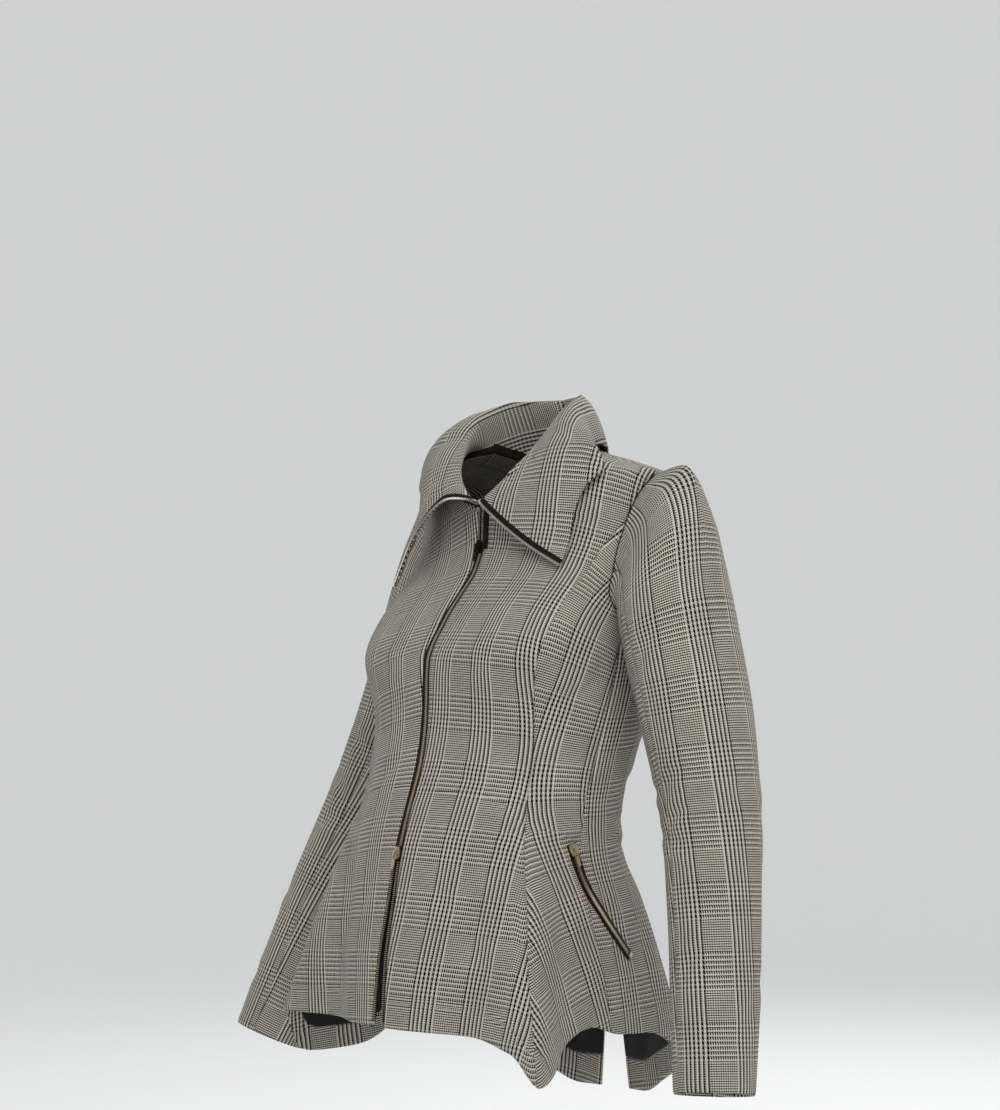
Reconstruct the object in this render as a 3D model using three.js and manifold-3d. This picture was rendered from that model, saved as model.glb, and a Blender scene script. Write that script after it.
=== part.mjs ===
// A fitted wool peplum jacket with a front zip, a collar folded open, puffed sleeve heads and fluted peplum.
// Millimetres, +Z up, front towards -Y, the wearer's left towards +X, origin at the base of the neck.
import * as THREE from 'three';
import { mergeVertices } from 'three/addons/utils/BufferGeometryUtils.js';
import Module from 'manifold-3d';

// Cloth and seams
const clothThickness = 2;
const liningThickness = 1;
const seamGap = 0.3;
const collarTape = 5.5; // width of the zip's tape on the collar
const sleeveGap = 1.2; // between sleeve and body where they touch
const gapAngle = 0.06; // half a seam gap, in degrees round the body

// Rows of each body panel from hem to armhole, and over the yoke; the lowest row takes the hem facing
const bodyRows = 13;
const yokeRows = 6;
const hemShare = 0.05;
const liningTopRow = 6;

// Where the seams meet the armhole, in degrees round it from the shoulder forwards, and the points between
const notches = { front: 60, underarm: 180, back: 300 };
const sideFrontColumns = 5;
const sideBackColumns = 5;

// Body sections from the neck down: half width, y of the centre front, the sides and the centre back,
// and how far the section turns towards the wearer's right, in degrees.
const bodySections = [
  { z: 12, half: 52, front: -44, side: 6, back: 54, turn: 8, square: 2 },
  { z: 0, half: 62, front: -48, side: 12, back: 66, turn: 8, square: 2 },
  { z: -12, half: 91, front: -50, side: 20, back: 76, turn: 8, square: 2 },
  { z: -22, half: 128, front: -51, side: 28, back: 86, turn: 8, square: 2 },
  { z: -36, half: 166, front: -42, side: 32, back: 95, turn: 8, square: 2 },
  { z: -62, half: 162, front: -44, side: 32, back: 106, turn: 8, square: 2.2 },
  { z: -93, half: 159, front: -45, side: 32, back: 112, turn: 8, square: 2.5 },
  { z: -120, half: 158, front: -53, side: 31, back: 114, turn: 8, square: 2.8 },
  { z: -145, half: 157, front: -71, side: 28, back: 114, turn: 8, square: 2.8 },
  { z: -170, half: 155, front: -91, side: 22, back: 111, turn: 7, square: 2.7 },
  { z: -209, half: 152, front: -115, side: 8, back: 103, turn: 5, square: 2.5 },
  { z: -260, half: 146, front: -122, side: -10, back: 88, turn: 3, square: 2.2 },
  { z: -300, half: 141, front: -132, side: -26, back: 74, turn: 1, square: 2.1 },
  { z: -345, half: 138, front: -149, side: -42, back: 63, turn: 0, square: 2 },
  { z: -381, half: 138, front: -160, side: -45, back: 66, turn: 0, square: 2 },
  { z: -430, half: 140, front: -170, side: -38, back: 90, turn: 0, square: 2 },
  { z: -480, half: 139, front: -180, side: -33, back: 110, turn: 0, square: 2 },
  { z: -545, half: 138, front: -186, side: -30, back: 128, turn: 0, square: 2 },
  { z: -640, half: 138, front: -192, side: -30, back: 136, turn: 0, square: 2 },
];

// Angle round the body from the centre front, in degrees, of each lengthwise seam at each height
const frontSeam = [
  { z: -80, angle: 74 }, { z: -105, angle: 61 }, { z: -140, angle: 53 }, { z: -185, angle: 48 },
  { z: -230, angle: 47 }, { z: -300, angle: 51 }, { z: -365, angle: 54 }, { z: -450, angle: 55.5 },
  { z: -640, angle: 60.5 },
];
const sideSeam = [
  { z: -170, angle: 90 }, { z: -200, angle: 83.5 }, { z: -280, angle: 82.5 }, { z: -365, angle: 82 },
  { z: -430, angle: 84 }, { z: -475, angle: 87.5 }, { z: -510, angle: 91 }, { z: -640, angle: 97 },
];
const backSeam = [
  { z: -82, angle: 107 }, { z: -140, angle: 121 }, { z: -200, angle: 131 }, { z: -345, angle: 136 },
  { z: -450, angle: 131 }, { z: -640, angle: 127 },
];

// Fullness that the lengthwise seams shape over the bust
const fullness = { angle: 44, z: -182, reach: 15, wide: 24, high: 62 };

// Flutes of each side: angle off the seam and reach at the hem, spread in degrees before and behind
// the ridge, and where they start
const flutes = {
  left: [
    { seam: frontSeam, off: 0, reach: 54, before: 13, behind: 10, start: -340, hem: -583 },
    { seam: backSeam, off: 0, reach: 26, before: 17, behind: 20, start: -380, hem: -600 },
  ],
  right: [
    { seam: frontSeam, off: 3, reach: 78, before: 13, behind: 13, start: -345, hem: -560 },
    { seam: backSeam, off: 0, reach: 27, before: 18, behind: 20, start: -378, hem: -600 },
  ],
};

// Height of each side's hem, by angle
const hemLine = {
  left: [
    { angle: 0, z: -541 }, { angle: 39, z: -545 }, { angle: 52, z: -557 }, { angle: 59.5, z: -585 },
    { angle: 65, z: -575 }, { angle: 71, z: -556 }, { angle: 84, z: -542 }, { angle: 97, z: -551 },
    { angle: 114, z: -554 }, { angle: 132, z: -586 }, { angle: 146, z: -608 }, { angle: 162, z: -626 },
    { angle: 180, z: -627 },
  ],
  right: [
    { angle: 0, z: -541 }, { angle: 39, z: -541 }, { angle: 56, z: -541 }, { angle: 62, z: -546 },
    { angle: 70, z: -585 }, { angle: 77, z: -580 }, { angle: 88, z: -556 }, { angle: 98, z: -551 },
    { angle: 114, z: -554 }, { angle: 132, z: -586 }, { angle: 146, z: -608 }, { angle: 162, z: -626 },
    { angle: 180, z: -627 },
  ],
};

// Neckline and armhole, as angle and height on the body
const frontNeck = [
  { angle: 0, z: -62 }, { angle: 12, z: -52 }, { angle: 24, z: -36 }, { angle: 42, z: -18 },
  { angle: 64, z: -6 }, { angle: 90, z: 0 },
];
const backNeck = [
  { angle: 180, z: -14 }, { angle: 160, z: -12 }, { angle: 138, z: -8 }, { angle: 114, z: -3 },
  { angle: 90, z: 0 },
];
const armhole = [
  { turn: 0, angle: 90, z: -36 }, { turn: 30, angle: 81, z: -50 }, { turn: 60, angle: 74, z: -80 },
  { turn: 90, angle: 71, z: -108 }, { turn: 120, angle: 72, z: -138 }, { turn: 150, angle: 79, z: -161 },
  { turn: 180, angle: 90, z: -170 }, { turn: 210, angle: 101, z: -162 }, { turn: 240, angle: 108, z: -140 },
  { turn: 270, angle: 110, z: -112 }, { turn: 300, angle: 107, z: -82 }, { turn: 330, angle: 99, z: -51 },
  { turn: 360, angle: 90, z: -36 },
];

// Half the gap between the fronts: the width of the closed zip, opening towards the hem
const frontOpening = [{ z: -58, x: 4.6 }, { z: -390, x: 4.6 }, { z: -560, x: 8 }, { z: -640, x: 9 }];

// Half the gap between the backs: a seam, then a vent below the waist
const backOpening = [{ z: 0, x: 0.15 }, { z: -420, x: 0.15 }, { z: -480, x: 4 }, { z: -640, x: 21 }];

// Sleeve: middle of the arm, half its width from inside to outside and from front to back
const sleeves = {
  left: [
    { z: -178, x: 203, y: -3, across: 52, deep: 55 }, { z: -259, x: 222, y: 0, across: 50, deep: 53 },
    { z: -331, x: 236, y: 1, across: 45, deep: 48 }, { z: -429, x: 250, y: -8, across: 40.5, deep: 44 },
    { z: -525, x: 262, y: -21, across: 38, deep: 41 }, { z: -591, x: 270, y: -31, across: 35, deep: 38 },
  ],
  right: [
    { z: -178, x: 200, y: 66, across: 48, deep: 52 }, { z: -259, x: 212, y: 46, across: 48, deep: 51 },
    { z: -331, x: 229, y: 24, across: 45, deep: 48 }, { z: -429, x: 260, y: -9, across: 40.5, deep: 44 },
    { z: -515, x: 282, y: -38, across: 38, deep: 41 }, { z: -585, x: 300, y: -62, across: 35, deep: 38 },
  ],
};

// Rows of a sleeve over its head and down the arm, and half the gap of its seams in degrees round it
const capRows = 5;
const sleeveRows = 7;
const gapTurn = 0.2;

// How far the sleeve head stands out from the seam and up from the arm, at each turn round the armhole
const head = [
  { turn: 0, out: 62, rise: 0.2, up: 162 }, { turn: 45, out: 46, rise: 0.16, up: 120 },
  { turn: 90, out: 20, rise: 0.05, up: 56 }, { turn: 180, out: 5, rise: 0, up: 8 },
];
const headShare = { left: 1, right: 0.6 }; // the right arm is drawn back, so its sleeve head stands out less

// Collar: each station's angle on the neckline, its roll, and its edge as angle and height on the body,
// how far the edge lies off the body, and how far the fall rises and bulges between roll and edge
const collars = {
  left: [
    { neck: 2.5, rollX: 5, rollY: -61, rollZ: -57, edge: 41, edgeZ: -124, lift: 6, rise: -5, bulge: 3 },
    { neck: 20, rollX: 19, rollY: -57, rollZ: -46, edge: 43, edgeZ: -104, lift: 6, rise: 0, bulge: 5 },
    { neck: 45, rollX: 39, rollY: -46, rollZ: -25, edge: 45, edgeZ: -80, lift: 7, rise: 2, bulge: 9 },
    { neck: 70, rollX: 54, rollY: -25, rollZ: 5, edge: 52, edgeZ: -46, lift: 9, rise: 5, bulge: 12 },
    { neck: 92, rollX: 60, rollY: -2, rollZ: 32, edge: 84, edgeZ: -14, lift: 9, rise: 6, bulge: 8 },
    { neck: 130, rollX: 43, rollY: 36, rollZ: 47, edge: 132, edgeZ: -10, lift: 4, rise: 5, bulge: 3 },
    { neck: 179.2, rollX: 0.8, rollY: 56, rollZ: 47, edge: 179.2, edgeZ: -20, lift: 5, rise: 5, bulge: 4 },
  ],
  right: [
    { neck: 2.5, rollX: 5, rollY: -61, rollZ: -56, edge: 31, edgeZ: -142, lift: 13, rise: 22, bulge: 5 },
    { neck: 20, rollX: 19, rollY: -57, rollZ: -45, edge: 32, edgeZ: -112, lift: 18, rise: 20, bulge: 7 },
    { neck: 45, rollX: 37, rollY: -46, rollZ: -25, edge: 33, edgeZ: -80, lift: 16, rise: 12, bulge: 8 },
    { neck: 70, rollX: 51, rollY: -25, rollZ: 2, edge: 42, edgeZ: -46, lift: 12, rise: 7, bulge: 11 },
    { neck: 92, rollX: 58, rollY: 0, rollZ: 30, edge: 78, edgeZ: -15, lift: 9, rise: 7, bulge: 9 },
    { neck: 130, rollX: 43, rollY: 36, rollZ: 47, edge: 132, edgeZ: -10, lift: 4, rise: 5, bulge: 3 },
    { neck: 179.2, rollX: 0.8, rollY: 56, rollZ: 47, edge: 179.2, edgeZ: -20, lift: 5, rise: 5, bulge: 4 },
  ],
};

// Zips: the front one is closed between its top and its foot and open below; widths in mm
const frontZip = { top: -105, foot: -390, half: 2, tape: 2.3, depth: 0.5, slider: 12 };
const pocketZip = { width: 7.5, chain: 3, lift: 0.8, thickness: 1 };

// Middle of the pocket opening, as angle and height on the body
const pocketLine = [
  { at: 0, angle: 76.2, z: -374 }, { at: 1, angle: 78.9, z: -389 }, { at: 2, angle: 83, z: -415 },
  { at: 3, angle: 90, z: -439.5 }, { at: 4, angle: 98.6, z: -464 }, { at: 5, angle: 105, z: -481 },
];

// Slider: a plate that tapers to the open end of the zip, with a bridge that the pull tab hangs on by the
// bar at its top end, `at` along the slider and `height` above its plate
const slider = {
  width: 7.6, length: 11, thickness: 1.8, bridgeLength: 5.6, bridgeHeight: 2.9, bridgeWidth: 1.6,
};
const pull = {
  width: 4, length: 15, thickness: 0.9, eyeWidth: 2.4, eyeLength: 4.4, bar: 0.9, at: -1.1, height: 1.25,
};

const wool = new THREE.MeshStandardMaterial({ color: '#8f897c', roughness: 0.9, metalness: 0 });
const lining = new THREE.MeshStandardMaterial({ color: '#0b0b0e', roughness: 0.5, metalness: 0 });
const tape = new THREE.MeshStandardMaterial({ color: '#2a1a12', roughness: 0.8, metalness: 0 });
const brass = new THREE.MeshStandardMaterial({ color: '#b9a27f', roughness: 0.35, metalness: 1 });

const radians = Math.PI / 180;
const lerp = (a, b, t) => a + (b - a) * t;
const steps = (count) => Array.from({ length: count + 1 }, (_, i) => i / count);

// Smooth curve through a table: every named column at one value of its first column
function lookUp(rows, key, value) {
  const rising = rows[1][key] > rows[0][key];
  let i = 0;
  while (i < rows.length - 2 && (rising ? value > rows[i + 1][key] : value < rows[i + 1][key])) i += 1;
  const span = rows[i + 1][key] - rows[i][key];
  const t = Math.min(Math.max((value - rows[i][key]) / span, 0), 1);
  const row = {};
  for (const name of Object.keys(rows[i])) {
    const slope = (j) => {
      if (j <= 0 || j >= rows.length - 1) return 0;
      const before = (rows[j][name] - rows[j - 1][name]) / (rows[j][key] - rows[j - 1][key]);
      const after = (rows[j + 1][name] - rows[j][name]) / (rows[j + 1][key] - rows[j][key]);
      return before * after > 0 ? (2 * before * after) / (before + after) : 0;
    };
    const m0 = (i === 0 ? (rows[1][name] - rows[0][name]) / span : slope(i)) * span;
    const end = i + 2 === rows.length;
    const m1 = (end ? (rows[i + 1][name] - rows[i][name]) / span : slope(i + 1)) * span;
    const a = rows[i][name], b = rows[i + 1][name];
    row[name] = a * (2 * t ** 3 - 3 * t * t + 1) + m0 * (t ** 3 - 2 * t * t + t)
      + b * (3 * t * t - 2 * t ** 3) + m1 * (t ** 3 - t * t);
  }
  return row;
}

// The angle at which the body's face lies `x` mm from the middle
function angleAt(x, z) {
  const s = lookUp(bodySections, 'z', z);
  return Math.asin((x / s.half) ** (s.square / 2)) / radians;
}

const seamAngle = (seam, z) => lookUp(seam, 'z', Math.min(z, seam[0].z)).angle;
const sideOf = (angle) => (angle < 0 ? 'right' : 'left');
const hemHeight = (angle) => lookUp(hemLine[sideOf(angle)], 'angle', Math.abs(angle)).z;

// How far the face stands out from its section, over the bust and in the flutes
function standOut(angle, z) {
  const wide = (Math.abs(angle) - fullness.angle) / fullness.wide, high = (z - fullness.z) / fullness.high;
  let reach = fullness.reach * Math.exp(-wide * wide - high * high);
  for (const flute of flutes[sideOf(angle)]) {
    const grown = Math.max((flute.start - z) / (flute.start - flute.hem), 0) ** 1.05;
    const off = Math.abs(angle) - seamAngle(flute.seam, z) - flute.off * grown;
    reach += flute.reach * grown * Math.exp(-((off / (off < 0 ? flute.before : flute.behind)) ** 2));
  }
  return reach;
}

// A point of the body's outer face, `inside` mm in from it
function bodySurface(angle, z) {
  const s = lookUp(bodySections, 'z', z);
  const cos = Math.cos(angle * radians), sin = Math.sin(angle * radians);
  const x = s.half * Math.sign(sin) * Math.abs(sin) ** (2 / s.square);
  const deep = cos > 0 ? s.side - s.front : s.back - s.side;
  const y = -Math.sign(cos) * Math.abs(cos) ** (2 / s.square) * deep;
  const out = 1 + standOut(angle, z) / Math.hypot(x, y);
  const turn = s.turn * radians;
  return new THREE.Vector3(
    out * (x * Math.cos(turn) + y * Math.sin(turn)),
    s.side + out * (y * Math.cos(turn) - x * Math.sin(turn)),
    z,
  );
}

function normalOf(surface, u, v, du = 0.4, dv = 0.4) {
  const along = surface(u + du, v).sub(surface(u - du, v));
  const up = surface(u, v + dv).sub(surface(u, v - dv));
  return along.cross(up).normalize();
}

function bodyPoint(angle, z, inside = 0) {
  const point = bodySurface(angle, z);
  return point.addScaledVector(normalOf(bodySurface, angle, z), -inside);
}

// A closed wall between two grids of points: outer and inner, rows of equal length
function wall(name, outer, inner, material) {
  const rows = outer.length, columns = outer[0].length;
  const points = [...outer.flat(), ...inner.flat()];
  const back = rows * columns;
  const index = [];
  const quad = (a, b, c, d) => index.push(a, b, c, a, c, d);
  const at = (r, c) => r * columns + c;
  for (let r = 0; r < rows - 1; r += 1) {
    for (let c = 0; c < columns - 1; c += 1) {
      quad(at(r, c), at(r, c + 1), at(r + 1, c + 1), at(r + 1, c));
      quad(back + at(r, c), back + at(r + 1, c), back + at(r + 1, c + 1), back + at(r, c + 1));
    }
  }
  for (let c = 0; c < columns - 1; c += 1) {
    quad(back + at(0, c), back + at(0, c + 1), at(0, c + 1), at(0, c));
    const top = rows - 1;
    quad(at(top, c), at(top, c + 1), back + at(top, c + 1), back + at(top, c));
  }
  for (let r = 0; r < rows - 1; r += 1) {
    quad(at(r, 0), at(r + 1, 0), back + at(r + 1, 0), back + at(r, 0));
    const end = columns - 1;
    quad(at(r, end), back + at(r, end), back + at(r + 1, end), at(r + 1, end));
  }
  let volume = 0;
  for (let i = 0; i < index.length; i += 3) {
    const [a, b, c] = [points[index[i]], points[index[i + 1]], points[index[i + 2]]];
    volume += a.dot(b.clone().cross(c));
  }
  if (volume < 0) {
    for (let i = 0; i < index.length; i += 3) [index[i + 1], index[i + 2]] = [index[i + 2], index[i + 1]];
  }
  const geometry = new THREE.BufferGeometry().setFromPoints(points);
  geometry.setIndex(index);
  geometry.computeVertexNormals();
  const mesh = new THREE.Mesh(geometry, material);
  mesh.name = name;
  jacket.add(mesh);
  return mesh;
}

const jacket = new THREE.Group();

const heights = [0, ...steps(bodyRows - 1).map((t) => lerp(hemShare, 1, t))];

// Rows of a panel between two edges that are given as lists of { angle, z }; the lowest row follows
// the hem and the highest one the curve `top`
function panelRows(side, low, high, columns, top) {
  const count = low.length - 1;
  return low.map((start, i) => {
    const end = high[i];
    const b = heights[i] ?? 1;
    return steps(columns).map((a) => {
      const angle = lerp(start.angle, end.angle, a);
      const hemShape = hemHeight(side * lerp(low[0].angle, high[0].angle, a)) - lerp(low[0].z, high[0].z, a);
      let z = lerp(start.z, end.z, a) + (1 - b) * hemShape;
      let turned = angle;
      if (top) {
        const edge = top(a);
        z += b ** 3 * (edge.z - lerp(low[count].z, high[count].z, a));
        turned += b ** 3 * (edge.angle - lerp(low[count].angle, high[count].angle, a));
      }
      return { angle: turned, z };
    });
  });
}

// An edge up a seam from the hem to the height `to`
function seamEdge(side, seam, to, shift) {
  const hem = hemHeight(side * seamAngle(seam, -600));
  return heights.map((b) => {
    const z = lerp(hem, to, b);
    return { angle: seamAngle(seam, z) + shift * gapAngle, z };
  });
}

function onCurve(curve, key, from, to, count) {
  return steps(count).slice(1).map((t) => lookUp(curve, key, lerp(from, to, t)));
}

// A panel of the body with the facing of its hem and the lining of its peplum
function addPanel(name, side, rows) {
  const face = (part, inside) => part.map((row) => row.map((p) => bodyPoint(side * p.angle, p.z, inside)));
  const inner = clothThickness + seamGap;
  wall(name, face(rows, 0), face(rows, clothThickness), wool);
  const hem = rows.slice(0, 2);
  wall(`facing_${name}`, face(hem, inner), face(hem, inner + liningThickness), wool);
  const peplum = rows.slice(1, liningTopRow + 1);
  peplum[0] = peplum[0].map((p) => ({ angle: p.angle, z: p.z + seamGap }));
  wall(`lining_${name}`, face(peplum, inner), face(peplum, inner + liningThickness), lining);
}

function frontEdge(side) {
  const foot = hemHeight(side * 3);
  return heights.map((b) => {
    const z = lerp(foot, frontNeck[0].z, b);
    return { angle: angleAt(lookUp(frontOpening, 'z', z).x, z), z };
  });
}

function backEdge(side) {
  const foot = hemHeight(side * 174);
  return heights.map((b) => {
    const z = lerp(foot, backNeck[0].z, b);
    return { angle: 180 - angleAt(lookUp(backOpening, 'z', z).x, z), z };
  });
}

for (const [sideName, side] of [['left', 1], ['right', -1]]) {
  const frontTop = lookUp(armhole, 'turn', notches.front);
  const backTop = lookUp(armhole, 'turn', notches.back);
  const underarm = lookUp(armhole, 'turn', notches.underarm);
  const shift = (rows, by) => rows.map((p) => ({ angle: p.angle + by, z: p.z }));
  const start = frontEdge(side);
  const centreEdge = [
    ...start,
    ...shift(onCurve(frontNeck, 'angle', start[bodyRows].angle, 90, yokeRows), -2 * gapAngle),
  ];
  const princessEdge = [
    ...seamEdge(side, frontSeam, frontTop.z, -1),
    ...shift(onCurve(armhole, 'turn', notches.front, 0, yokeRows), -2 * gapAngle),
  ];
  addPanel(`front_${sideName}`, side, panelRows(side, centreEdge, princessEdge, 7));
  addPanel(`side_front_${sideName}`, side, panelRows(
    side, seamEdge(side, frontSeam, frontTop.z, 1), seamEdge(side, sideSeam, underarm.z, -1),
    sideFrontColumns, (a) => lookUp(armhole, 'turn', lerp(notches.front, notches.underarm, a)),
  ));
  addPanel(`side_back_${sideName}`, side, panelRows(
    side, seamEdge(side, sideSeam, underarm.z, 1), seamEdge(side, backSeam, backTop.z, -1),
    sideBackColumns, (a) => lookUp(armhole, 'turn', lerp(notches.underarm, notches.back, a)),
  ));
  const backPrincess = [
    ...seamEdge(side, backSeam, backTop.z, 1),
    ...shift(onCurve(armhole, 'turn', notches.back, 360, yokeRows), 2 * gapAngle),
  ];
  const centreBack = [
    ...backEdge(side),
    ...shift(onCurve(backNeck, 'angle', 180, 90, yokeRows), 2 * gapAngle),
  ];
  addPanel(`back_${sideName}`, side, panelRows(side, backPrincess, centreBack, 5));
}

function sleeveRing(side, rows, z, turn) {
  const s = lookUp(rows, 'z', z);
  const up = lookUp(rows, 'z', z + 2), down = lookUp(rows, 'z', z - 2);
  const axis = new THREE.Vector3(side * (up.x - down.x), up.y - down.y, 4).normalize();
  const front = new THREE.Vector3(0, -1, 0).addScaledVector(axis, axis.y).normalize();
  const out = front.clone().cross(axis).multiplyScalar(-side).normalize();
  if (out.x * side < 0) out.negate();
  return {
    axis,
    point: new THREE.Vector3(side * s.x, s.y, z)
      .addScaledVector(out, s.across * Math.cos(turn * radians))
      .addScaledVector(front, s.deep * Math.sin(turn * radians)),
  };
}

// Moves a point of the sleeve out to the body's face where it would lie inside it
function clearOfBody(point) {
  const s = lookUp(bodySections, 'z', point.z);
  const turn = s.turn * radians;
  const x = point.x * Math.cos(turn) - (point.y - s.side) * Math.sin(turn);
  const y = point.x * Math.sin(turn) + (point.y - s.side) * Math.cos(turn);
  const depth = y < 0 ? s.side - s.front : s.back - s.side;
  const share = ((Math.abs(x) / s.half) ** s.square + (Math.abs(y) / depth) ** s.square) ** (1 / s.square);
  const clear = 1 + sleeveGap / s.half;
  if (share >= clear) return point;
  const out = clear / share;
  return new THREE.Vector3(point.x * out, s.side + (point.y - s.side) * out, point.z);
}

function armholePoint(side, turn) {
  const round = (turn + 360) % 360;
  const at = lookUp(armhole, 'turn', round);
  return bodySurface(side * at.angle, at.z);
}

// The sleeve's outer face: `along` runs 0 to 1 over the head and 1 to 2 down the arm
function sleeveSurface(side, rows, turn, along) {
  if (along >= 1) {
    const z = lerp(rows[0].z, rows[rows.length - 1].z, along - 1);
    return clearOfBody(sleeveRing(side, rows, z, turn).point);
  }
  const seam = armholePoint(side, turn);
  const middle = armholePoint(side, 0).add(armholePoint(side, 180)).multiplyScalar(0.5);
  const inward = middle.sub(seam).normalize();
  seam.addScaledVector(inward, seamGap + 0.1);
  const folded = Math.abs(((turn + 540) % 360) - 180);
  const h = lookUp(head, 'turn', folded);
  const ring = sleeveRing(side, rows, rows[0].z, turn);
  const lift = new THREE.Vector3(side, 0, h.rise).normalize()
    .multiplyScalar(h.out * headShare[side > 0 ? 'left' : 'right']);
  const drop = ring.axis.clone().multiplyScalar(h.up);
  const curve = new THREE.CubicBezierCurve3(
    seam, seam.clone().add(lift), ring.point.clone().add(drop), ring.point,
  );
  return along > 0.1 ? clearOfBody(curve.getPoint(along)) : curve.getPoint(along);
}

function sleevePanel(name, side, rows, turns) {
  const surface = (turn, along) => sleeveSurface(side, rows, turn, along);
  const alongs = [...steps(capRows), ...steps(sleeveRows).slice(1).map((t) => 1 + t)];
  const face = (inside) => alongs.map((along) => turns.map((turn) => {
    const a = Math.min(Math.max(along, 0.01), 1.99);
    const normal = normalOf(surface, turn, a, 1, 0.008).multiplyScalar(side);
    return surface(turn, along).addScaledVector(normal, -inside);
  }));
  return wall(name, face(0), face(clothThickness), wool);
}

const between = (from, to, count) => steps(count).map((t) => lerp(from, to, t)).slice(1);
const frontTurns = between(notches.front, notches.underarm, sideFrontColumns);
const backTurns = between(notches.underarm, notches.back, sideBackColumns);
const [frontSleeveSeam, backSleeveSeam] = [frontTurns[1], backTurns[1]];
const upperTurns = [
  backSleeveSeam - 360 + gapTurn, ...backTurns.slice(2).map((turn) => turn - 360),
  ...between(notches.back - 360, 0, yokeRows), ...between(0, notches.front, yokeRows),
  frontTurns[0], frontSleeveSeam - gapTurn,
];
const underTurns = [
  frontSleeveSeam + gapTurn, ...frontTurns.slice(2), ...backTurns.slice(0, 1), backSleeveSeam - gapTurn,
];
for (const [sideName, side] of [['left', 1], ['right', -1]]) {
  sleevePanel(`sleeve_upper_${sideName}`, side, sleeves[sideName], upperTurns);
  sleevePanel(`sleeve_under_${sideName}`, side, sleeves[sideName], underTurns);
}

// Where the collar's shown face meets the neckline: inside it, and above it where the collar lies open
function neckPoint(side, angle) {
  const at = angle < 90 ? lookUp(frontNeck, 'angle', angle) : lookUp(backNeck, 'angle', angle);
  const point = bodySurface(side * Math.min(angle, 179.8), at.z);
  const inward = new THREE.Vector3(0, 10, at.z).sub(point).setZ(0).normalize();
  const open = Math.min(Math.max((110 - angle) / 40, 0), 1);
  const clear = clothThickness + 3 * seamGap;
  point.z += lerp(seamGap, clear, open);
  return point.addScaledVector(inward, clear);
}

// The collar's shown face: `station` runs from the front edge to the centre back, `across` from the neck
// seam over the roll to the outer edge
function collarSurface(side, rows, station, across) {
  const s = lookUp(rows.map((row, at) => ({ at, ...row })), 'at', station);
  const roll = new THREE.Vector3(side * s.rollX, s.rollY, s.rollZ);
  const seam = neckPoint(side, s.neck);
  const edge = bodyPoint(side * s.edge, s.edgeZ, -s.lift);
  const out = edge.clone().sub(bodySurface(side * s.edge, s.edgeZ)).normalize();
  const raised = out.multiplyScalar(s.bulge).setZ(out.z + s.rise);
  const over = (t) => roll.clone().lerp(edge, t).add(raised);
  const stand = seam.clone().lerp(roll, 0.5);
  const inward = new THREE.Vector3(0, 10, stand.z).sub(stand).setZ(0).normalize();
  stand.addScaledVector(inward, 2);
  const curve = new THREE.CatmullRomCurve3([seam, stand, roll, over(0.3), over(0.65), edge]);
  return curve.getPoint(across);
}

function collarFace(side, under, acrosses, stations) {
  const surface = (station, across) => collarSurface(side, collars[sideOf(side)], station, across);
  return acrosses.map((across) => stations.map((station) => {
    const a = Math.min(Math.max(across, 0.005), 0.995);
    const b = Math.min(Math.max(station, 0.01), 5.99);
    const normal = normalOf(surface, b, a, 0.01, 0.005).multiplyScalar(-side);
    return surface(station, across).addScaledVector(normal, -under);
  }));
}

const collarRows = steps(11);
const collarStations = steps(10).map((t) => 6 * t);
const tapeRows = collarRows.slice(5);
for (const [sideName, side] of [['left', 1], ['right', -1]]) {
  const face = (under) => collarFace(side, under, collarRows, collarStations);
  wall(`collar_${sideName}`, face(0), face(clothThickness), wool);
  const tapeFace = (under) => {
    const strip = collarFace(side, under, tapeRows, collarStations.slice(0, 2));
    const share = (row) => collarTape / row[0].distanceTo(row[1]);
    return strip.map((row) => [row[0], row[0].clone().lerp(row[1], share(row))]);
  };
  wall(`collar_tape_${sideName}`, tapeFace(-1.6), tapeFace(-0.6), tape);
}

// Tapes beside the front edges, with their inner edges a chain apart
for (const [sideName, side] of [['left', 1], ['right', -1]]) {
  const face = (inside) => frontEdge(side).map(({ z }) => {
    const edge = lookUp(frontOpening, 'z', z).x - seamGap;
    return [edge, edge - frontZip.tape + seamGap].map((x) => bodyPoint(side * angleAt(x, z), z, inside));
  });
  wall(`zip_tape_${sideName}`, face(frontZip.depth), face(frontZip.depth + 1.2), tape);
}
const chainFoot = frontZip.foot + frontZip.slider;
const chainHeights = frontEdge(1).map(({ z }) => z).filter((z) => z > chainFoot && z < frontZip.top);
const chainFace = (inside) => [chainFoot, ...chainHeights, frontZip.top].map((z) => {
  const angle = angleAt(frontZip.half, z);
  return [-angle, angle].map((at) => bodyPoint(at, z, inside));
});
wall('zip_chain', chainFace(-0.3), chainFace(1.5), brass);

const wasm = await Module();
wasm.setup();

function toSolid(geometry) {
  const bare = geometry.clone();
  bare.deleteAttribute('normal');
  bare.deleteAttribute('uv');
  const merged = mergeVertices(bare);
  return new wasm.Manifold(new wasm.Mesh({
    numProp: 3,
    vertProperties: merged.attributes.position.array,
    triVerts: Uint32Array.from(merged.index.array),
  }));
}

function join(a, b) {
  const mesh = toSolid(a).add(toSolid(b)).getMesh();
  const geometry = new THREE.BufferGeometry();
  geometry.setAttribute('position', new THREE.BufferAttribute(mesh.vertProperties, 3));
  geometry.setIndex(new THREE.BufferAttribute(mesh.triVerts, 1));
  geometry.computeVertexNormals();
  return geometry;
}

function extrude(shape, depth) {
  return new THREE.ExtrudeGeometry(shape, { depth, bevelEnabled: false, curveSegments: 4 });
}

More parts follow.
